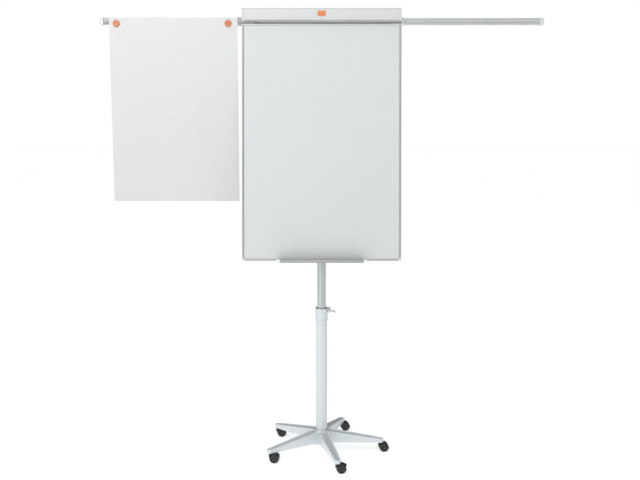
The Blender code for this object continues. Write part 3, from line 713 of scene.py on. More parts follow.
def hood_shell():
    """Mudguard over both wheels: a channelled band with soft rims."""
    half, outer, inner = CASTER_HALF, HOOD_RADIUS, HOOD_RADIUS - HOOD_WALL
    section = [(inner, -half, 0.0003), (outer - 0.0004, -half, 0.0010), (outer, -half + 0.0045, 0.002)]
    section += groove(outer, 0, 0.0030, 0.0026, 0.0005, 0.0003, 0.0003)
    section += [(outer, half - 0.0045, 0.002), (outer - 0.0004, half, 0.0010), (inner, half, 0.0003)]
    section = rounded(section, steps=3)
    steps = 44
    start, end = HOOD_ENDS
    rings = []
    for i in range(steps + 1):
        a = radians(start + (end - start) * i / steps)
        rings.append([(r * cos(a), y, r * sin(a)) for r, y in section])
    return soften(loft(rings), 0.0005, 2, 60)


def housing():
    """Hood, web between the wheels and flared stem boss, as one moulding."""
    back = -(spot("wheels_1_roll") - spot("caster_1_swivel")).xy.length
    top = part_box("caster_housing_1")[1].z - AXLE_HEIGHT
    middle = HOOD_RADIUS - HOOD_WALL / 2
    web = through(arc((0, 0), middle, *HOOD_ENDS, 40), -WEB_HALF, WEB_HALF)
    boss_profile = [(0, 0.004, 0), (0.0100, 0.004, 0.0010), (0.0096, 0.0140, 0.004)]
    boss_profile += [(0.0090, top, 0.0012), (0, top, 0)]
    boss = moved(turned(boss_profile, 48, 4), shift(back, 0, 0))
    boss = carved(boss, removed=[moved(disc(middle, -0.04, 0.04, steps=96), TO_Y)])
    hub_disc = moved(disc(0.0065, -0.0060, 0.0060, 0.0006, 40), TO_Y)
    return carved(hood_shell(), [soften(web, 0.0004, 2, 60), boss, hub_disc])


def wheel_face(outer):
    """A wheel's side from its tyre's shoulder to its centre."""
    radius = AXLE_HEIGHT
    shoulder = [(radius, 0.0034, 0.0), (radius - 0.0006, 0.0016, 0.0012), (radius - 0.0026, 0.0, 0.0012)]
    seam = [(0.0168, 0.0, 0.0003), (0.0164, 0.0008, 0.0002), (0.0156, 0.0008, 0.0002)]
    rim = [(0.0153, 0.0002, 0.0003), (0.0136, 0.0002, 0.0005), (0.0128, 0.0022, 0.0006)]
    centre = [(0.0078, 0.0022, 0.0005), (0.0071, 0.0004, 0.0005), (0.0040, 0.0, 0.001)]
    return [(r, outer - deep, bend) for r, deep, bend in shoulder + seam + rim + centre]


def wheel_pair():
    """Both wheels on their axle: tyres with round shoulders, and spoked centres."""
    radius = AXLE_HEIGHT
    inner = WEB_HALF + GAP
    outer = 0.5 * wheels_width(1)
    spokes = 6
    tread = 0.0166  # what lies outside this radius is tyre

    def spoked(turn, r, z):
        if not 0.0074 < r < 0.0132 or abs(z) > outer - 0.0015 or abs(z) < outer - 0.004:
            return z
        share = max(0.0, cos(spokes * turn)) ** 4
        return z + (0.0017 * share if z > 0 else -0.0017 * share)

    def wheel():
        loop = [(0, inner, 0), (radius - 0.0010, inner, 0.0008), (radius, inner + 0.0012, 0.0008)]
        loop += wheel_face(outer) + [(0, outer, 0)]
        return turned(loop, 120, shape=spoked)

    far = moved(wheel(), Matrix.Scale(-1, 4, (0, 0, 1)))
    bmesh.ops.reverse_faces(far, faces=far.faces)
    axle = disc(AXLE_RADIUS, -inner - 0.001, inner + 0.001, steps=24)
    pair = moved(together(wheel(), far, axle), TO_Y)
    return two_tone(pair, lambda normal, centre: sqrt(centre.x**2 + centre.z**2) <= tread)


def wheels_width(number):
    """A wheel pair's width along its own axle."""
    low, high = nearest_box(f"caster_wheels_{number}", caster_place(number).inverted())
    return high.y - low.y


def pedal():
    """Brake pedal that hugs the hood, with fine grip ridges and a raised toe."""
    outline = arc((0, 0), HOOD_RADIUS + GAP, 26, 66, 12)
    steps, toe = 18, 33
    for i in range(steps + 1):
        a = 66 - (66 - toe) * i / steps
        lift = PEDAL_THICK * (1 + min(max((52 - a) / 7, 0), 1)) - (0.0005 if i % 3 == 1 else 0.0)
        outline += arc((0, 0), HOOD_RADIUS + lift, a, a, 1)[:1]
    return soften(through(outline, -PEDAL_HALF, PEDAL_HALF), 0.0005, 2, 50)


def stem_pin(number):
    low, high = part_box(f"caster_stem_{number}")
    radius = 0.5 * (high.x - low.x)
    profile = [(0, low.z, 0), (radius * 0.7, low.z, 0.0004), (radius * 0.7, low.z + 0.0068, 0.0003)]
    profile += [(radius, low.z + 0.0068, 0.0004)]
    profile += groove(radius, high.z - 0.0022, 0.0008, 0.0004, 0.0006, 0.0002, 0.0002)
    profile += [(radius - 0.0008, high.z, 0.0004), (0, high.z, 0)]
    middle = 0.5 * (low + high)
    return moved(turned(profile, 32, 2), shift(middle.x, middle.y, 0))


def build_casters():
    for number in range(1, LEGS + 1):
        place = caster_place(number)
        body = f"caster_{number}"
        node = f"caster_housing_{number}"
        piece(f"hood_{number}", housing(), BLACK, body, node, place)
        node = f"caster_stem_{number}"
        piece(f"stem_{number}", stem_pin(number), STEEL, body, node)
        body, node = f"wheels_{number}", f"caster_wheels_{number}"
        piece(f"wheel_pair_{number}", wheel_pair(), [TYRE, BLACK], body, node, place)
        body, node = f"brake_{number}", f"brake_lever_{number}"
        if node in frame["nodes"]:
            piece(f"brake_pedal_{number}", pedal(), BLACK, body, node, place)


# ---------------------------------------------------------------- mast


def tube_piece(name, node, wall, finish, body):
    low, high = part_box(node)
    outer, rim = high.x, 0.0006
    profile = rectangle(outer - wall, low.z, outer, high.z, rim, rim, rim, rim)
    piece(name, turned(profile, 128), finish, body, node)


def collar():
    """Split clamp collar: a band with a beaded rim and foot, and two bored lugs."""
    low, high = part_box("collar")
    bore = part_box("outer_tube")[1].x + GAP
    foot, top = low.z, high.z
    outer = -low.x
    half_slot = atan2(SLOT_HALF, bore)
    wall = [(bore, foot, 0.0003), (outer - 0.0003, foot, 0.0008), (outer - 0.0003, foot + 0.0030, 0.0004)]
    wall += [(outer - 0.0010, foot + 0.0036, 0.0004), (outer - 0.0006, top - 0.0075, 0.0004)]
    wall += [(outer - 0.0004, top - 0.0070, 0.0004), (outer, top - 0.0060, 0.0006), (outer, top, 0.0012)]
    wall += [(bore, top, 0.0004)]
    wall = rounded(wall, steps=3)
    steps = 120
    rings = []
    for i in range(steps + 1):
        a = half_slot + (2 * pi - 2 * half_slot) * i / steps
        rings.append([(r * cos(a), r * sin(a), z) for r, z in wall])
    band = loft(rings)
    lugs = []
    bolt = spot("clamp_lever_turn")
    for side in (-1, 1):
        outline = [(bore + 0.0008, LUG_LOW, 0.0), (LUG_REACH, LUG_LOW, 0.005), (LUG_REACH, top, 0.005)]
        outline = rounded(outline + [(bore + 0.0008, top, 0.0)], steps=6)
        lug = through(outline, *sorted((side * SLOT_HALF, side * LUG_HALF)))
        hole = moved(disc(0.0033, -HALF_BORE, HALF_BORE, steps=32), shift(bolt.x, 0, bolt.z) @ TO_Y)
        lugs.append(carved(soften(lug, 0.0006, 3, 60), removed=[hole]))
    piece("clamp_collar", carved(band, lugs), COAT, "base", "collar", smooth=30)


def hexagon(bore, radius, height):
    """Nut along +Z with its bore open."""
    bend = 0.0008
    return turned(rectangle(bore, 0, radius, height, bend, bend, bend, bend), 6, 4)


def clamp():
    """Bolt through the lugs with its boss and nut, and a pressed lever with a rolled end."""
    bolt = spot("clamp_lever_turn")
    low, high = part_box("clamp_lever")
    front = -LUG_HALF - GAP
    rod = moved(disc(0.0030, front - 0.003, high.y - 0.0002, 0.0006, 32), TO_Y)
    boss = moved(disc(0.0062, front - 0.0090, front, 0.0010, 48), TO_Y)
    droop = atan2(low.z - bolt.z, high.x - bolt.x) * 0.5
    rings = []
    reach = high.x - bolt.x - 0.0005
    for i in range(13):
        share = i / 12
        x, z = share * reach * cos(droop), share * reach * sin(droop)
        tall = 0.0046 - 0.0014 * sin(pi * min(share * 1.3, 1)) + (0.0006 if share > 0.8 else 0.0)
        thick = 0.0022 + 0.0012 * share
        if i == 12:
            tall, thick = tall * 0.72, thick * 0.72
        turns = [2 * pi * k / 20 for k in range(20)]
        rings.append([(x, front - 0.0052 + thick * cos(a), z + tall * sin(a)) for a in turns])
    arm = loft(rings)
    body = carved(rod, [boss, soften(arm, 0.0008, 2, 60)])
    at = shift(bolt.x, 0, bolt.z)
    piece("clamp_handle", body, STEEL, "clamp_lever", "clamp_lever", at)
    nut = moved(hexagon(0.0031, 0.0060, 0.0032), shift(bolt.x, LUG_HALF + GAP, bolt.z) @ TO_Y)
    piece("clamp_nut", nut, STEEL, "clamp_lever")


def guide():
    """Bush in the outer tube's mouth, with a flange on its rim."""
    low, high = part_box("guide_bush")
    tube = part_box("outer_tube")[1]
    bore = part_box("inner_tube")[1].x + GAP
    inside = tube.x - OUTER_WALL - GAP
    profile = [(bore, low.z, 0.0004), (inside, low.z, 0.0004), (inside, tube.z + GAP, 0)]
    profile += [(tube.x, tube.z + GAP, 0.0004), (tube.x, high.z - 0.0004, 0.0012)]
    profile += [(bore + 0.0008, high.z, 0.0006)]
    piece("guide_ring", turned(profile, 96), DARK, "base", "guide_bush")


def foot_plug():
    """Bush in the inner tube's foot, which runs inside the outer tube."""
    low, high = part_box("mast_foot_bush")
    wide, narrow = high.x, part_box("inner_tube")[1].x - INNER_WALL - GAP
    ledge = low.z + 0.012
    profile = [(0, low.z, 0), (wide, low.z, 0.0010), (wide, ledge, 0.0004), (narrow, ledge, 0.0002)]
    profile += [(narrow, high.z, 0.0010), (0, high.z, 0)]
    piece("foot_plug", turned(profile, 64), DARK, "mast", "mast_foot_bush")


def build_mast():
    tube_piece("lower_tube", "outer_tube", OUTER_WALL, COAT, "base")
    tube_piece("upper_tube", "inner_tube", INNER_WALL, TUBE, "mast")
    collar()
    clamp()
    guide()
    foot_plug()


# ---------------------------------------------------------------- tilt joint


def screw(radius, height, drive=0.45):
    """Pan head along +Z with a cross recess, standing on z = 0."""
    dome = [(0, 0, 0), (radius, 0, 0.0002), (radius * 0.98, height * 0.45, height * 0.5), (0, height, 0)]
    head = turned(dome, 40, 5)
    reach, half, deep = radius * drive, radius * 0.11, height * 0.45
    slots = []
    for size in ((reach, half), (half, reach)):
        slots.append(block((-size[0], -size[1], deep), (size[0], size[1], height * 2)))
    return carved(head, removed=slots)


def tilt_head():
    """Socket on top of the mast with a rounded fork block for the tilt stud."""
    low, high = nearest_box("tilt_head", shift(*(-PIVOT)))
    half, cheek = high.x, high.z
    roof = low.z + 0.042
    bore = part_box("inner_tube")[1].x + GAP
    sleeve = [(bore, low.z, 0.0008), (half, low.z, 0.0016), (half - 0.0012, roof + 0.006, 0.004)]
    sleeve += [(half * 0.55, roof + 0.012, 0.003), (0, roof + 0.012, 0), (0, roof, 0), (bore, roof, 0)]
    fork = arc((0, 0), cheek, -5, 185, 40) + [(-cheek, roof + 0.002), (cheek, roof + 0.002)]
    body = sideways(fork, -half, half)
    bosses = [moved(disc(0.0125, s * half * 0.9, s * half, 0.0006, 48), TO_X) for s in (-1, 1)]
    head = carved(turned(sleeve, 96, 4), [soften(body, 0.0018, 3, 60), *bosses])
    piece("tilt_socket", head, DARK, "head", "tilt_head", shift(*PIVOT), 30)


def tilt_knob():
    """Six-lobed grip on a steel stud."""
    low, high = nearest_box("tilt_knob", shift(*(-PIVOT)))
    lobes, steps = 6, 96
    rings = []
    near, far = EAR_OUTER + GAP, high.x
    swell = [(near, 0.90), (near + 0.0013, 0.97), (near + 0.0037, 1.0)]
    swell += [(far - 0.004, 1.0), (far - 0.0014, 0.96), (far, 0.86)]
    for x, share in swell:
        ring = []
        for i in range(steps):
            a = 2 * pi * i / steps
            r = share * (0.0200 + 0.0020 * cos(lobes * a))
            ring.append((x, r * cos(a), r * sin(a)))
        rings.append(ring)
    dish = moved(disc(0.0095, high.x - 0.0018, high.x + 0.01, steps=48), TO_X)
    grip = carved(loft(rings), removed=[dish])
    piece("knob_grip", grip, KNOB, "tilt_knob", "tilt_knob", shift(*PIVOT), 30)
    stud = moved(disc(0.0040, low.x, high.x - 0.0012, 0.0008, 48), TO_X)
    at = shift(-EAR_OUTER - 0.0004, 0, 0) @ TO_X.inverted()
    studs = together(stud, moved(hexagon(0.0041, 0.0082, 0.0050), at))
    piece("tilt_stud", studs, STEEL, "tilt_knob", place=shift(*PIVOT))


def bracket():
    """Pressed plate on the board's back, with two ears and four screws."""
    low, high = nearest_box("board_bracket", LEANING.inverted())
    plate_front = low.y
    thick, ear_foot = 0.0030, 0.034
    plate = rounded(rectangle(low.x, low.z, high.x, high.z), 0.010, 8)
    plate = through(plate, plate_front, plate_front + thick)
    ears = []
    for side in (-1, 1):
        outline = arc((0, 0), high.y, -90, 90, 24)
        outline += [(plate_front + 0.001, foot) for foot in (ear_foot, -ear_foot)]
        ear = sideways(outline, *sorted((side * EAR_INNER, side * EAR_OUTER)))
        ears.append(soften(ear, 0.0006, 2, 60))
    hole = moved(disc(0.0043, -0.06, 0.06, steps=40), TO_X)
    body = carved(soften(plate, 0.0007, 2, 60), ears, [hole])
    piece("back_bracket", body, BRACKET, "board", "board_bracket", LEANING, 30)
    heads = []
    for x in (-1, 1):
        for z in (-1, 1):
            head = screw(0.0050, 0.0026)
            at = shift(x * (high.x - 0.014), plate_front + thick, z * (high.z - 0.016))
            heads.append(moved(head, at @ TO_Y))
    piece("bracket_screws", together(*heads), STEEL, "board", place=LEANING)


# ---------------------------------------------------------------- board


def panel():
    """Steel-faced panel: the lacquered face in front and zinc-coated sheet behind."""
    low, high = board_box("board_panel")
    inner = high.x + PANEL_EDGE - FRAME_WIDTH - GAP
    rim = rectangle(low.x, low.z, high.x, high.z)
    raised = rectangle(-inner, FRAME_WIDTH + GAP, inner, high.z - GAP)
    step = low.y + PANEL_STEP
    levels = [(rim, high.y), (rim, step), (raised, step), (raised, low.y)]
    slab = soften(loft([[(x, y, z) for x, z in outline] for outline, y in levels]), 0.0002, 2)
    two_tone(slab, lambda normal, centre: normal.y >= -0.2)
    on_board("writing_panel", slab, [FACE, ZINC], "board_panel")


def edge_section():
    """Edge extrusion, as (distance in from the outside, ahead of the face)."""
    back = -board_box("frame_left")[1].y
    rear = -PANEL_THICK - GAP
    seat = PANEL_EDGE - GAP
    inside = FRAME_WIDTH + 0.0020
    outline = [(0.0, back, 0.0006)] + groove(0.0, -0.0061, 0.0009, 0.0005, -0.0006, 0.0003, 0.0003)
    outline += [(0.0, FRAME_LIP, 0.0014), (0.0056, FRAME_LIP, 0.0004)]
    outline += [(0.0062, FRAME_LIP - 0.0005, 0.0003), (0.0068, FRAME_LIP - 0.0004, 0.0003)]
    outline += [(FRAME_WIDTH, GROOVE_MOUTH + 0.0006, 0.0002), (FRAME_WIDTH, GROOVE_MOUTH, 0.0)]
    outline += [(seat, GROOVE_MOUTH, 0.0), (seat, rear, 0.0), (FRAME_WIDTH, rear, 0.0003)]
    return outline + [(inside, rear - 0.0008, 0.0004), (inside, back, 0.0004)]


def edges():
    """Side and bottom extrusions; the bottom one's groove is a little shallower."""
    section = rounded(edge_section(), steps=3)
    for name, side in SIDES:
        node = f"frame_{name}"
        low, high = board_box(node)
        outside = reaches(low, high)[1]
        outline = [(side * (outside - inset), -ahead) for inset, ahead in section]
        body = soften(upright(outline, low.z, high.z), 0.0002, 1, 60)
        on_board(f"edge_{name}", body, EDGE_UP, node)
    low, high = board_box("frame_bottom")
    outline = []
    for up, ahead in section:
        in_groove = 0 < up < FRAME_WIDTH and ahead <= GAP
        outline.append((ahead, up - SHALLOW if in_groove else up))
    body = soften(across(outline, low.x, high.x), 0.0002, 1, 60)
    on_board("edge_bottom", body, EDGE_ALONG, "frame_bottom")


def corners():
    """Moulded corners with a round outside, each held by one screw in its back."""
    beyond, screw_inset = 0.1, 0.0085
    for name, side in SIDES:
        node = f"corner_{name}"
        low, high = board_box(node)
        inside, outside = reaches(low, high)
        outline = rectangle(inside, low.z, outside, high.z, 0.0004, CORNER_BEND, 0.0004, 0.0004)
        outline = rounded(outline, steps=8)
        body = through([(side * x, z) for x, z in outline], high.y, low.y)
        near, far = sorted((0.0, side * (outside - PANEL_EDGE + GAP)))
        foot = PANEL_EDGE - SHALLOW - GAP
        pocket = block((near, -GROOVE_MOUTH, foot), (far, PANEL_THICK + GAP, beyond))
        near, far = sorted((0.0, side * (outside - FRAME_WIDTH)))
        window = block((near, -beyond, FRAME_WIDTH), (far, PANEL_THICK, beyond))
        body = soften(carved(body, removed=[pocket, window]), 0.0006, 3, 60)
        on_board(f"moulded_corner_{name}", body, PALE, node, smooth=30)
        at = shift(side * (outside - screw_inset), high.y - 0.0002, screw_inset) @ TO_Y
        head = moved(screw(0.0028, 0.0014), at)
        on_board(f"corner_screw_{name}", head, STEEL, ())


def rail():
    """Open-fronted extrusion: two lips hold the arms in, and fine beads run along its front."""
    low, high = board_box("arm_rail")
    front, back = -low.y, -high.y
    rear, lip = back + RAIL_WALL, front - RAIL_LIP
    outline = [(back, low.z, 0.0006), (front - 0.0006, low.z, 0.0006), (front, low.z + 0.0008, 0.0006)]
    outline += [(front, RAIL_MOUTH[0], 0.0007), (lip, RAIL_MOUTH[0], 0.0004), (lip, RAIL_CAVITY[0], 0.0)]
    outline += [(rear, RAIL_CAVITY[0], 0.0004), (rear, RAIL_CAVITY[1], 0.0004), (lip, RAIL_CAVITY[1], 0.0)]
    outline += [(lip, RAIL_MOUTH[1], 0.0004), (front, RAIL_MOUTH[1], 0.0007)]
    for i in range(2):
        at = RAIL_MOUTH[1] + 0.0036 + 0.0060 * i
        outline += groove(front, at, 0.0010, 0.0006, 0.0006, 0.0002, 0.0002)
    outline += [(front, high.z, 0.0006), (back, high.z, 0.0006)]
    body = bar(outline, low, high)
    on_board("rail_extrusion", body, RAIL, "arm_rail")


def guide_block(name, side, lane, mouth, finish):
    """Plastic guide on the rail's end with the window that its arm slides through."""
    node = f"arm_guide_{name}"
    low, high = board_box(node)
    inner, outer = reaches(low, high)
    outline = rectangle(inner, low.z, outer, high.z, 0.0003, 0.0060, 0.0060, 0.0003)
    outline = [(side * x, z) for x, z in rounded(outline, steps=8)]
    body = soften(through(outline, high.y, low.y), 0.0012, 3, 60)
    start, end = low.x - 0.01, high.x + 0.01
    lane_front, lane_back = -lane[1] - LANE_ROOM, -lane[0] + LANE_ROOM
    windows = [block((start, lane_front, RAIL_CAVITY[0]), (end, lane_back, RAIL_CAVITY[1]))]
    if mouth:
        windows.append(block((start, -0.05, RAIL_MOUTH[0]), (end, 0.0, RAIL_MOUTH[1])))
    body = carved(body, removed=windows)
    on_board(f"guide_{name}", body, finish, node, smooth=30)


def header_back():
    """Angle behind the clamp: its floor carries the pegs and its edge is hemmed."""
    low, high = board_box("header_back")
    back, thick = -high.y, 0.0020
    front = -low.y
    outline = [(back, low.z, 0.0006), (front, low.z, 0.0008), (front, low.z + thick, 0.0008)]
    outline += [(back + thick, low.z + thick, 0.0012), (back + thick, high.z - 0.004, 0.0003)]
    hem = back + thick + 0.0006
    outline += [(hem, high.z - 0.0036, 0.0003), (hem, high.z, 0.0010)]
    outline += [(back, high.z, 0.0008)]
    body = bar(outline, low, high)
    on_board("header_angle", body, SHELL, "header_back")


def clamp_flap():
    """Clamp flap: hooks round its rod, crowns over the top, drops in front and flares at its foot."""
    low, high = board_box("pad_clamp")
    front = -board_box("badge")[1].y - GAP
    inner, outer = ROD_RADIUS + GAP, ROD_RADIUS + GAP + FLAP_THICK
    bend = 0.016
    crown = (front - bend, high.z - bend)
    foot = low.z
    knee = foot + 0.0105
    flare = -low.y
    outline = arc(crown, bend, 90, 0, 14)
    outline += [(front, knee + 0.0022), (front - 0.0005, knee + 0.0016)]
    outline += [(front - 0.0005, knee + 0.0009), (front, knee)]
    outline += arc((flare - 0.0090, foot + 0.0030), 0.0090, 32, 0, 5)
    outline += [(flare, foot + 0.0012), (flare - 0.0006, foot + 0.0003), (flare - 0.0016, foot)]
    outline += [(front + 0.0004, foot + 0.0006), (front - FLAP_THICK, knee)]
    outline += arc(crown, bend - FLAP_THICK, 0, 90, 14)
    outline += arc(HINGE, inner, 100, 330, 20) + arc(HINGE, outer, 330, 180, 12)
    back, heel = HINGE[0] - outer, 0.0035
    outline += [(back, high.z - FLAP_THICK - 0.003)]
    outline += arc((back + heel, high.z - heel), heel, 180, 90, 6)[1:]
    flap = soften(across(outline, low.x, high.x), 0.0004, 2, 60)
    on_board("clamp_flap", flap, SHELL, "pad_clamp", "pad_clamp")


def clamp_rod():
    low, high = board_box("clamp_rod")
    rod = moved(disc(ROD_RADIUS, low.x, high.x, 0.0004, 32), shift(0, -HINGE[0], HINGE[1]) @ TO_X)
    on_board("hinge_rod", rod, STEEL, "clamp_rod", "pad_clamp")


def header_caps():
    """End caps that close the header; a notch lets a hung sheet and its magnets slide by."""
    bend, heel, chamfer = 0.017, 0.004, 0.0012
    for name, side in SIDES:
        node = f"header_cap_{name}"
        low, high = board_box(node)
        near, far = reaches(low, high)
        front, back, top, foot = -low.y, -high.y, high.z, low.z
        face = front - 0.0028
        notch = face - 0.0045
        shelf = board_box("header_back")[0].z
        outline = arc((face - bend, top - bend), bend, 90, 0, 12)
        outline += [(face, foot + 0.0125), (front, foot + 0.0040)]
        outline += [(front, foot + chamfer), (front - chamfer, foot)]
        outline += [(notch + chamfer, foot), (notch, foot + chamfer), (notch, shelf), (back, shelf)]
        outline += arc((back + heel, top - heel), heel, 180, 90, 6)
        cap = soften(across(outline, side * near, side * far), 0.0012, 3, 60)
        on_board(f"header_end_{name}", cap, PALE, node, smooth=40)


def badge():
    """Plain orange plate with a raised rim and no mark on it."""
    low, high = board_box("badge")
    near, far = -high.y, -low.y
    corner, rim = 0.0026, 0.0014

    def outline(inset):
        edges = (low.x + inset, low.z + inset, high.x - inset, high.z - inset)
        return rounded(rectangle(*edges), corner - 0.6 * inset, 6)

    levels = [(0.0, near), (0.0, far - 0.0004), (0.0003, far), (rim, far), (rim + 0.0003, far - 0.0004)]
    rings = [[(x, -ahead, z) for x, z in outline(inset)] for inset, ahead in levels]
    on_board("badge_plate", loft(rings), BADGE, "badge", "pad_clamp")


def pegs():
    """Sliding carriers, each with a pin that a pad hangs on."""
    for name in ("left", "right"):
        node = f"pad_peg_{name}"
        low, high = board_box(node)
        middle = 0.5 * (low.x + high.x)
        half = 0.5 * (high.x - low.x)
        front = -low.y - 0.0080
        carrier = soften(block((-half, -front, low.z), (half, high.y, low.z + 0.008)), 0.0008, 3)
        pin = disc(0.0030, -0.0175, -front + 0.001, 0.0008, 32)
        pin = moved(pin, shift(0, 0, low.z + 0.0045) @ TO_Y)
        body = moved(carved(carrier, [pin]), shift(middle, 0, 0))
        on_board(f"peg_{name}", body, STEEL, node, node)


def tray():
    """Pen tray: a folded extrusion with a rolled front lip and a beaded floor."""
    low, high = board_box("pen_tray")
    front, near = -low.y, -high.y
    foot, lip = low.z, high.z
    wall = TRAY_WALL
    floor, rolled = foot + wall, front - wall - 0.0006
    beads, bead_half, bead_height = 4, 0.0008, 0.0006
    back_lip = 0.006
    outline = [(near, foot, 0.0004), (front, foot, 0.0042), (front, lip, 0.0007), (rolled, lip, 0.0007)]
    outline += [(rolled, lip - 0.0012, 0.0003), (front - wall, lip - 0.0016, 0.0003)]
    outline += [(front - wall, floor, 0.0028)]
    for i in range(beads):
        at = front - 0.0115 - 0.0085 * i
        outline += [(at + bead_half, floor, 0.0002), (at, floor + bead_height, 0.0004)]
        outline += [(at - bead_half, floor, 0.0002)]
    outline += [(near + wall, floor, 0.0014), (near + wall, back_lip, 0.0006), (near, back_lip, 0.0006)]

    # Picks the trough's inside faces, which take the painted shade.
    def is_shaded_inside(normal, centre):
        between = foot + 0.5 * wall < centre.z < lip - 0.0004
        return between and -centre.y < front - 0.5 * wall

    body = two_tone(bar(outline, low, high), is_shaded_inside)
    finish = [TRAY_FRONT, TRAY_INSIDE_PAINTED_SHADE]
    on_board("tray_extrusion", body, finish, "pen_tray")


def tray_ends():
    """Solid ends of the tray, rounded toward the outside."""
    dome = ((0.0040, 0.0), (0.0018, 0.0008), (0.0005, 0.0024), (0.0, 0.0050))
    for name, side in SIDES:
        node = f"tray_cap_{name}"
        low, high = board_box(node)
        near, far = reaches(low, high)
        front, back = -low.y, -high.y
        rings = []
        for back_off, inset in ((far - near, 0.0), *dome):
            foot, top = low.z + 0.2 * inset, high.z - 0.3 * inset
            corners = rectangle(back, foot, front - inset, top, 0.0006, 0.0042, 0.0034, 0.0008)
            x = side * (far - back_off)
            rings.append([(x, -ahead, up) for ahead, up in rounded(corners, steps=5)])
        on_board(f"tray_end_{name}", loft(rings), WHITE, node)


def build_board():
    panel()
    edges()
    corners()
    rail()
    left, right = board_box("left_arm"), board_box("right_arm")
    guide_block("left", -1, (-left[1].y, -left[1].y + ARM_BASE), True, GREY)
    guide_block("right", 1, (-right[1].y, -right[0].y), False, PALE)
    header_back()
    clamp_flap()
    clamp_rod()
    header_caps()
    badge()
    pegs()
    tray()
    tray_ends()
    bracket()


# ---------------------------------------------------------------- arms, sheet and magnets


def left_arm():
    """Front arm: a flat base whose rib stands out between the rail's lips."""
    low, high = board_box("left_arm")
    foot, top = ARM_RIB
    back, front, rib = -high.y, -high.y + ARM_BASE, -low.y
    outline = [(back, low.z, 0.0005), (front, low.z, 0.0005), (front, foot, 0.0006), (rib, foot, 0.0008)]
    for edge in (-1, 1):
        at = 0.5 * (foot + top) + edge * 0.0027
        outline += groove(rib, at, 0.0006, 0.0002, 0.0005, 0.0001, 0.0001)
    outline += [(rib, top, 0.0008), (front, top, 0.0006), (front, high.z, 0.0005), (back, high.z, 0.0005)]

    # The rib takes the painted-shade copy of the metal, and the faces off it take the painted-light copy.
    def lit_off_rib(normal, centre):
        return not foot - 0.001 < centre.z < top + 0.004

    body = two_tone(bar(outline, low, high), lit_off_rib)
    finish = [ARM_PAINTED_SHADE, ARM_PAINTED_LIGHT]
    on_board("arm_left", body, finish, "left_arm", "left_arm")


def right_arm():
    """Back arm: a channel with a grooved face."""
    low, high = board_box("right_arm")
    back, front = -high.y, -low.y
    middle = 0.5 * (low.z + high.z)
    outline = [(back, low.z, 0.0008), (front - 0.0010, low.z, 0.0006), (front, low.z + 0.0018, 0.0010)]
    outline += groove(front, middle, 0.0046, 0.0030, 0.0014, 0.0003, 0.0004)
    outline += [(front, high.z - 0.0018, 0.0010), (front - 0.0010, high.z, 0.0006), (back, high.z, 0.0008)]
    hollow, wall = back + 0.0060, 0.0025
    outline += [(back, high.z - wall, 0.0004), (hollow, high.z - wall, 0.0006)]
    outline += [(hollow, low.z + wall, 0.0006), (back, low.z + wall, 0.0004)]
    body = bar(outline, low, high)
    on_board("arm_right", body, ARM, "right_arm", "right_arm")


def arm_ends():
    """Rounded end caps, a little larger than their bars."""
    for name, side in SIDES:
        node = f"{name}_arm_cap"
        low, high = board_box(node)
        near, far = reaches(low, high)
        outline = rectangle(near, low.z, far, high.z, 0.0004, 0.0100, 0.0100, 0.0004)
        outline = [(side * x, z) for x, z in rounded(outline, steps=10)]
        cap = soften(through(outline, high.y, low.y), 0.0030, 5, 60)
        on_board(f"arm_end_{name}", cap, PALE, node, f"{name}_arm", 40)


def sheet_point(u, v, left, top, face):
    """Where the paper's point u across and v down lies: flat on the arm, then bent to hang plumb."""
    start = BOARD @ Vector((left, -face, top))
    along = (BOARD.to_3x3() @ Vector((0, 0, -1))).normalized()
    flat = top - ARM_RIB[0]
    bend = SHEET_BEND * LEAN
    if v <= flat:
        place = start + along * v
    else:
        turned = min((v - flat) / bend, 1.0) * LEAN
        place = start + along * flat
        place.y -= SHEET_BEND * (cos(LEAN - turned) - cos(LEAN))
        place.z -= SHEET_BEND * (sin(LEAN) - sin(LEAN - turned))
        place.z -= max(0.0, v - flat - bend)
    place.x += u
    return place


def sheet_bow(u, v):
    """How far the paper bows forward: both lower corners lift and its right edge curls."""
    width, length = SHEET
    hang = min(max((v - 0.06) / (length - 0.06), 0.0), 1.0)
    right = max(0.0, 1 - (width - u) / 0.11)
    left = max(0.0, 1 - u / 0.15)
    wave = 0.0022 * sin(2 * pi * (u / 0.34 + 0.12)) * hang
    return 0.0105 * right**2 * hang**0.7 + 0.0050 * left**2 * hang**1.4 + wave + 0.0035 * hang**2


def sheet():
    """One sheet of chart paper as a fine grid with a real thickness."""
    high = board_box("display_sheet")[1]
    face = GAP - board_box("left_arm")[0].y
    left = high.x - SHEET[0]
    columns, rows = 64, 96
    bm = bmesh.new()
    sides = []
    for layer in (0.0, SHEET_THICK):
        grid = []
        for j in range(rows + 1):
            v = SHEET[1] * j / rows
            row = []
            for i in range(columns + 1):
                u = SHEET[0] * i / columns
                place = sheet_point(u, v, left, high.z, face + layer)
                place.y -= sheet_bow(u, v)
                row.append(bm.verts.new(place))
            grid.append(row)
        sides.append(grid)
    for grid in sides:
        for j in range(rows):
            for i in range(columns):
                bm.faces.new((grid[j][i], grid[j][i + 1], grid[j + 1][i + 1], grid[j + 1][i]))
    back, front = sides
    rim = [(0, i) for i in range(columns)] + [(j, columns) for j in range(rows)]
    rim += [(rows, i) for i in range(columns, 0, -1)] + [(j, 0) for j in range(rows, 0, -1)]
    for (a, b), (c, d) in zip(rim, rim[1:] + rim[:1]):
        bm.faces.new((back[a][b], back[c][d], front[c][d], front[a][b]))
    bmesh.ops.recalc_face_normals(bm, faces=bm.faces)
    return piece("chart_sheet", bm, PAPER, "left_arm", "display_sheet")


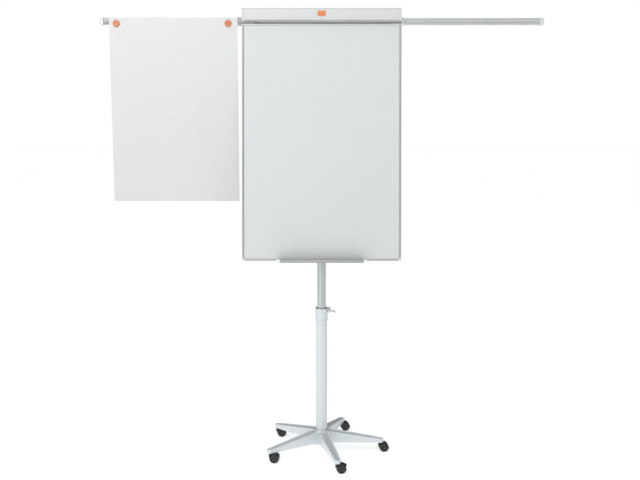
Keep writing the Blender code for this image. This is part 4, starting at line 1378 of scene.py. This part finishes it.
def magnets():
    """Two round magnets with a dished face and a ring groove."""
    made = []
    for name in ("left", "right"):
        node = f"magnet_{name}"
        low, high = board_box(node)
        radius, thick = 0.5 * (high.x - low.x), high.y - low.y
        profile = [(0, 0, 0), (radius - 0.0008, 0, 0.0003), (radius, 0.0010, 0.0006)]
        profile += [(radius, thick - 0.0022, 0.0008)]
        profile += [(radius - 0.0022, thick, 0.0016), (radius * 0.62, thick, 0.0008)]
        profile += [(radius * 0.52, thick - 0.0008, 0.0010), (0, thick - 0.0010, 0)]
        middle = 0.5 * (low + high)
        centre = shift(middle.x, high.y, middle.z)
        body = moved(turned(profile, 72, 4), centre @ TO_Y.inverted())
        made.append(on_board(f"round_{node}", body, ORANGE, node, "left_arm"))
    return made


def build_arms():
    left_arm()
    right_arm()
    arm_ends()
    paper = sheet()
    held = magnets()
    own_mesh(paper)


# ---------------------------------------------------------------- studio


def camera():
    data = bpy.data.cameras.new("camera")
    data.sensor_width = 36
    data.lens = CAMERA_LENS
    item = bpy.data.objects.new("camera", data)
    item.location = CAMERA_AT
    item.rotation_euler = (pi / 2 - CAMERA_PITCH, 0, CAMERA_TURN)
    bpy.context.collection.objects.link(item)
    bpy.context.scene.camera = item


def floor():
    half = 30.0
    bm = bmesh.new()
    bm.faces.new([bm.verts.new((x, y, 0)) for x, y in rectangle(-half, -half, half, half)])
    mesh = bpy.data.meshes.new("studio_floor")
    bm.to_mesh(mesh)
    bm.free()
    mesh.materials.append(floor_finish())
    item = bpy.data.objects.new("studio_floor", mesh)
    bpy.context.collection.objects.link(item)


def softbox(name, place, aim, size, power):
    data = bpy.data.lights.new(name, "AREA")
    data.shape = "RECTANGLE"
    data.size, data.size_y = size
    data.energy = power
    item = bpy.data.objects.new(name, data)
    item.location = place
    item.rotation_euler = (Vector(aim) - Vector(place)).to_track_quat("-Z", "Y").to_euler()
    bpy.context.collection.objects.link(item)


def world_light():
    """White to look at; as a light it is brighter overhead and darker to the right and behind."""
    world = bpy.data.worlds.new("studio")
    world.use_nodes = True
    nodes, links = world.node_tree.nodes, world.node_tree.links
    where = nodes.new("ShaderNodeTexCoord")
    split = nodes.new("ShaderNodeSeparateXYZ")
    links.new(where.outputs["Generated"], split.inputs["Vector"])
    level = None
    for axis, (low, high) in WORLD_SPAN.items():
        share = ramp(world.node_tree, split.outputs[axis], (-1.0, 1.0), low, high)
        share.interpolation_type = "SMOOTHSTEP"
        if level is None:
            level = share.outputs["Result"]
            continue
        product = nodes.new("ShaderNodeMath")
        product.operation = "MULTIPLY"
        links.new(level, product.inputs[0])
        links.new(share.outputs["Result"], product.inputs[1])
        level = product.outputs["Value"]
    lighting = nodes["Background"]
    lighting.inputs["Color"].default_value = (0.97, 0.99, 1.0, 1.0)
    links.new(level, lighting.inputs["Strength"])
    seen = nodes.new("ShaderNodeBackground")
    seen.inputs["Color"].default_value = (1.0, 1.0, 1.0, 1.0)
    seen.inputs["Strength"].default_value = 1.0
    path = nodes.new("ShaderNodeLightPath")
    mix = nodes.new("ShaderNodeMixShader")
    links.new(path.outputs["Is Camera Ray"], mix.inputs["Fac"])
    links.new(lighting.outputs["Background"], mix.inputs[1])
    links.new(seen.outputs["Background"], mix.inputs[2])
    links.new(mix.outputs["Shader"], nodes["World Output"].inputs["Surface"])
    return world


def studio():
    bpy.context.scene.world = world_light()
    bpy.context.scene.view_settings.view_transform = "Standard"
    for name, (place, aim, size, power) in SOFTBOXES.items():
        softbox(name, place, aim, size, power)


def main():
    camera()
    studio()
    floor()
    build_base()
    build_casters()
    build_mast()
    tilt_head()
    tilt_knob()
    build_board()
    build_arms()


main()
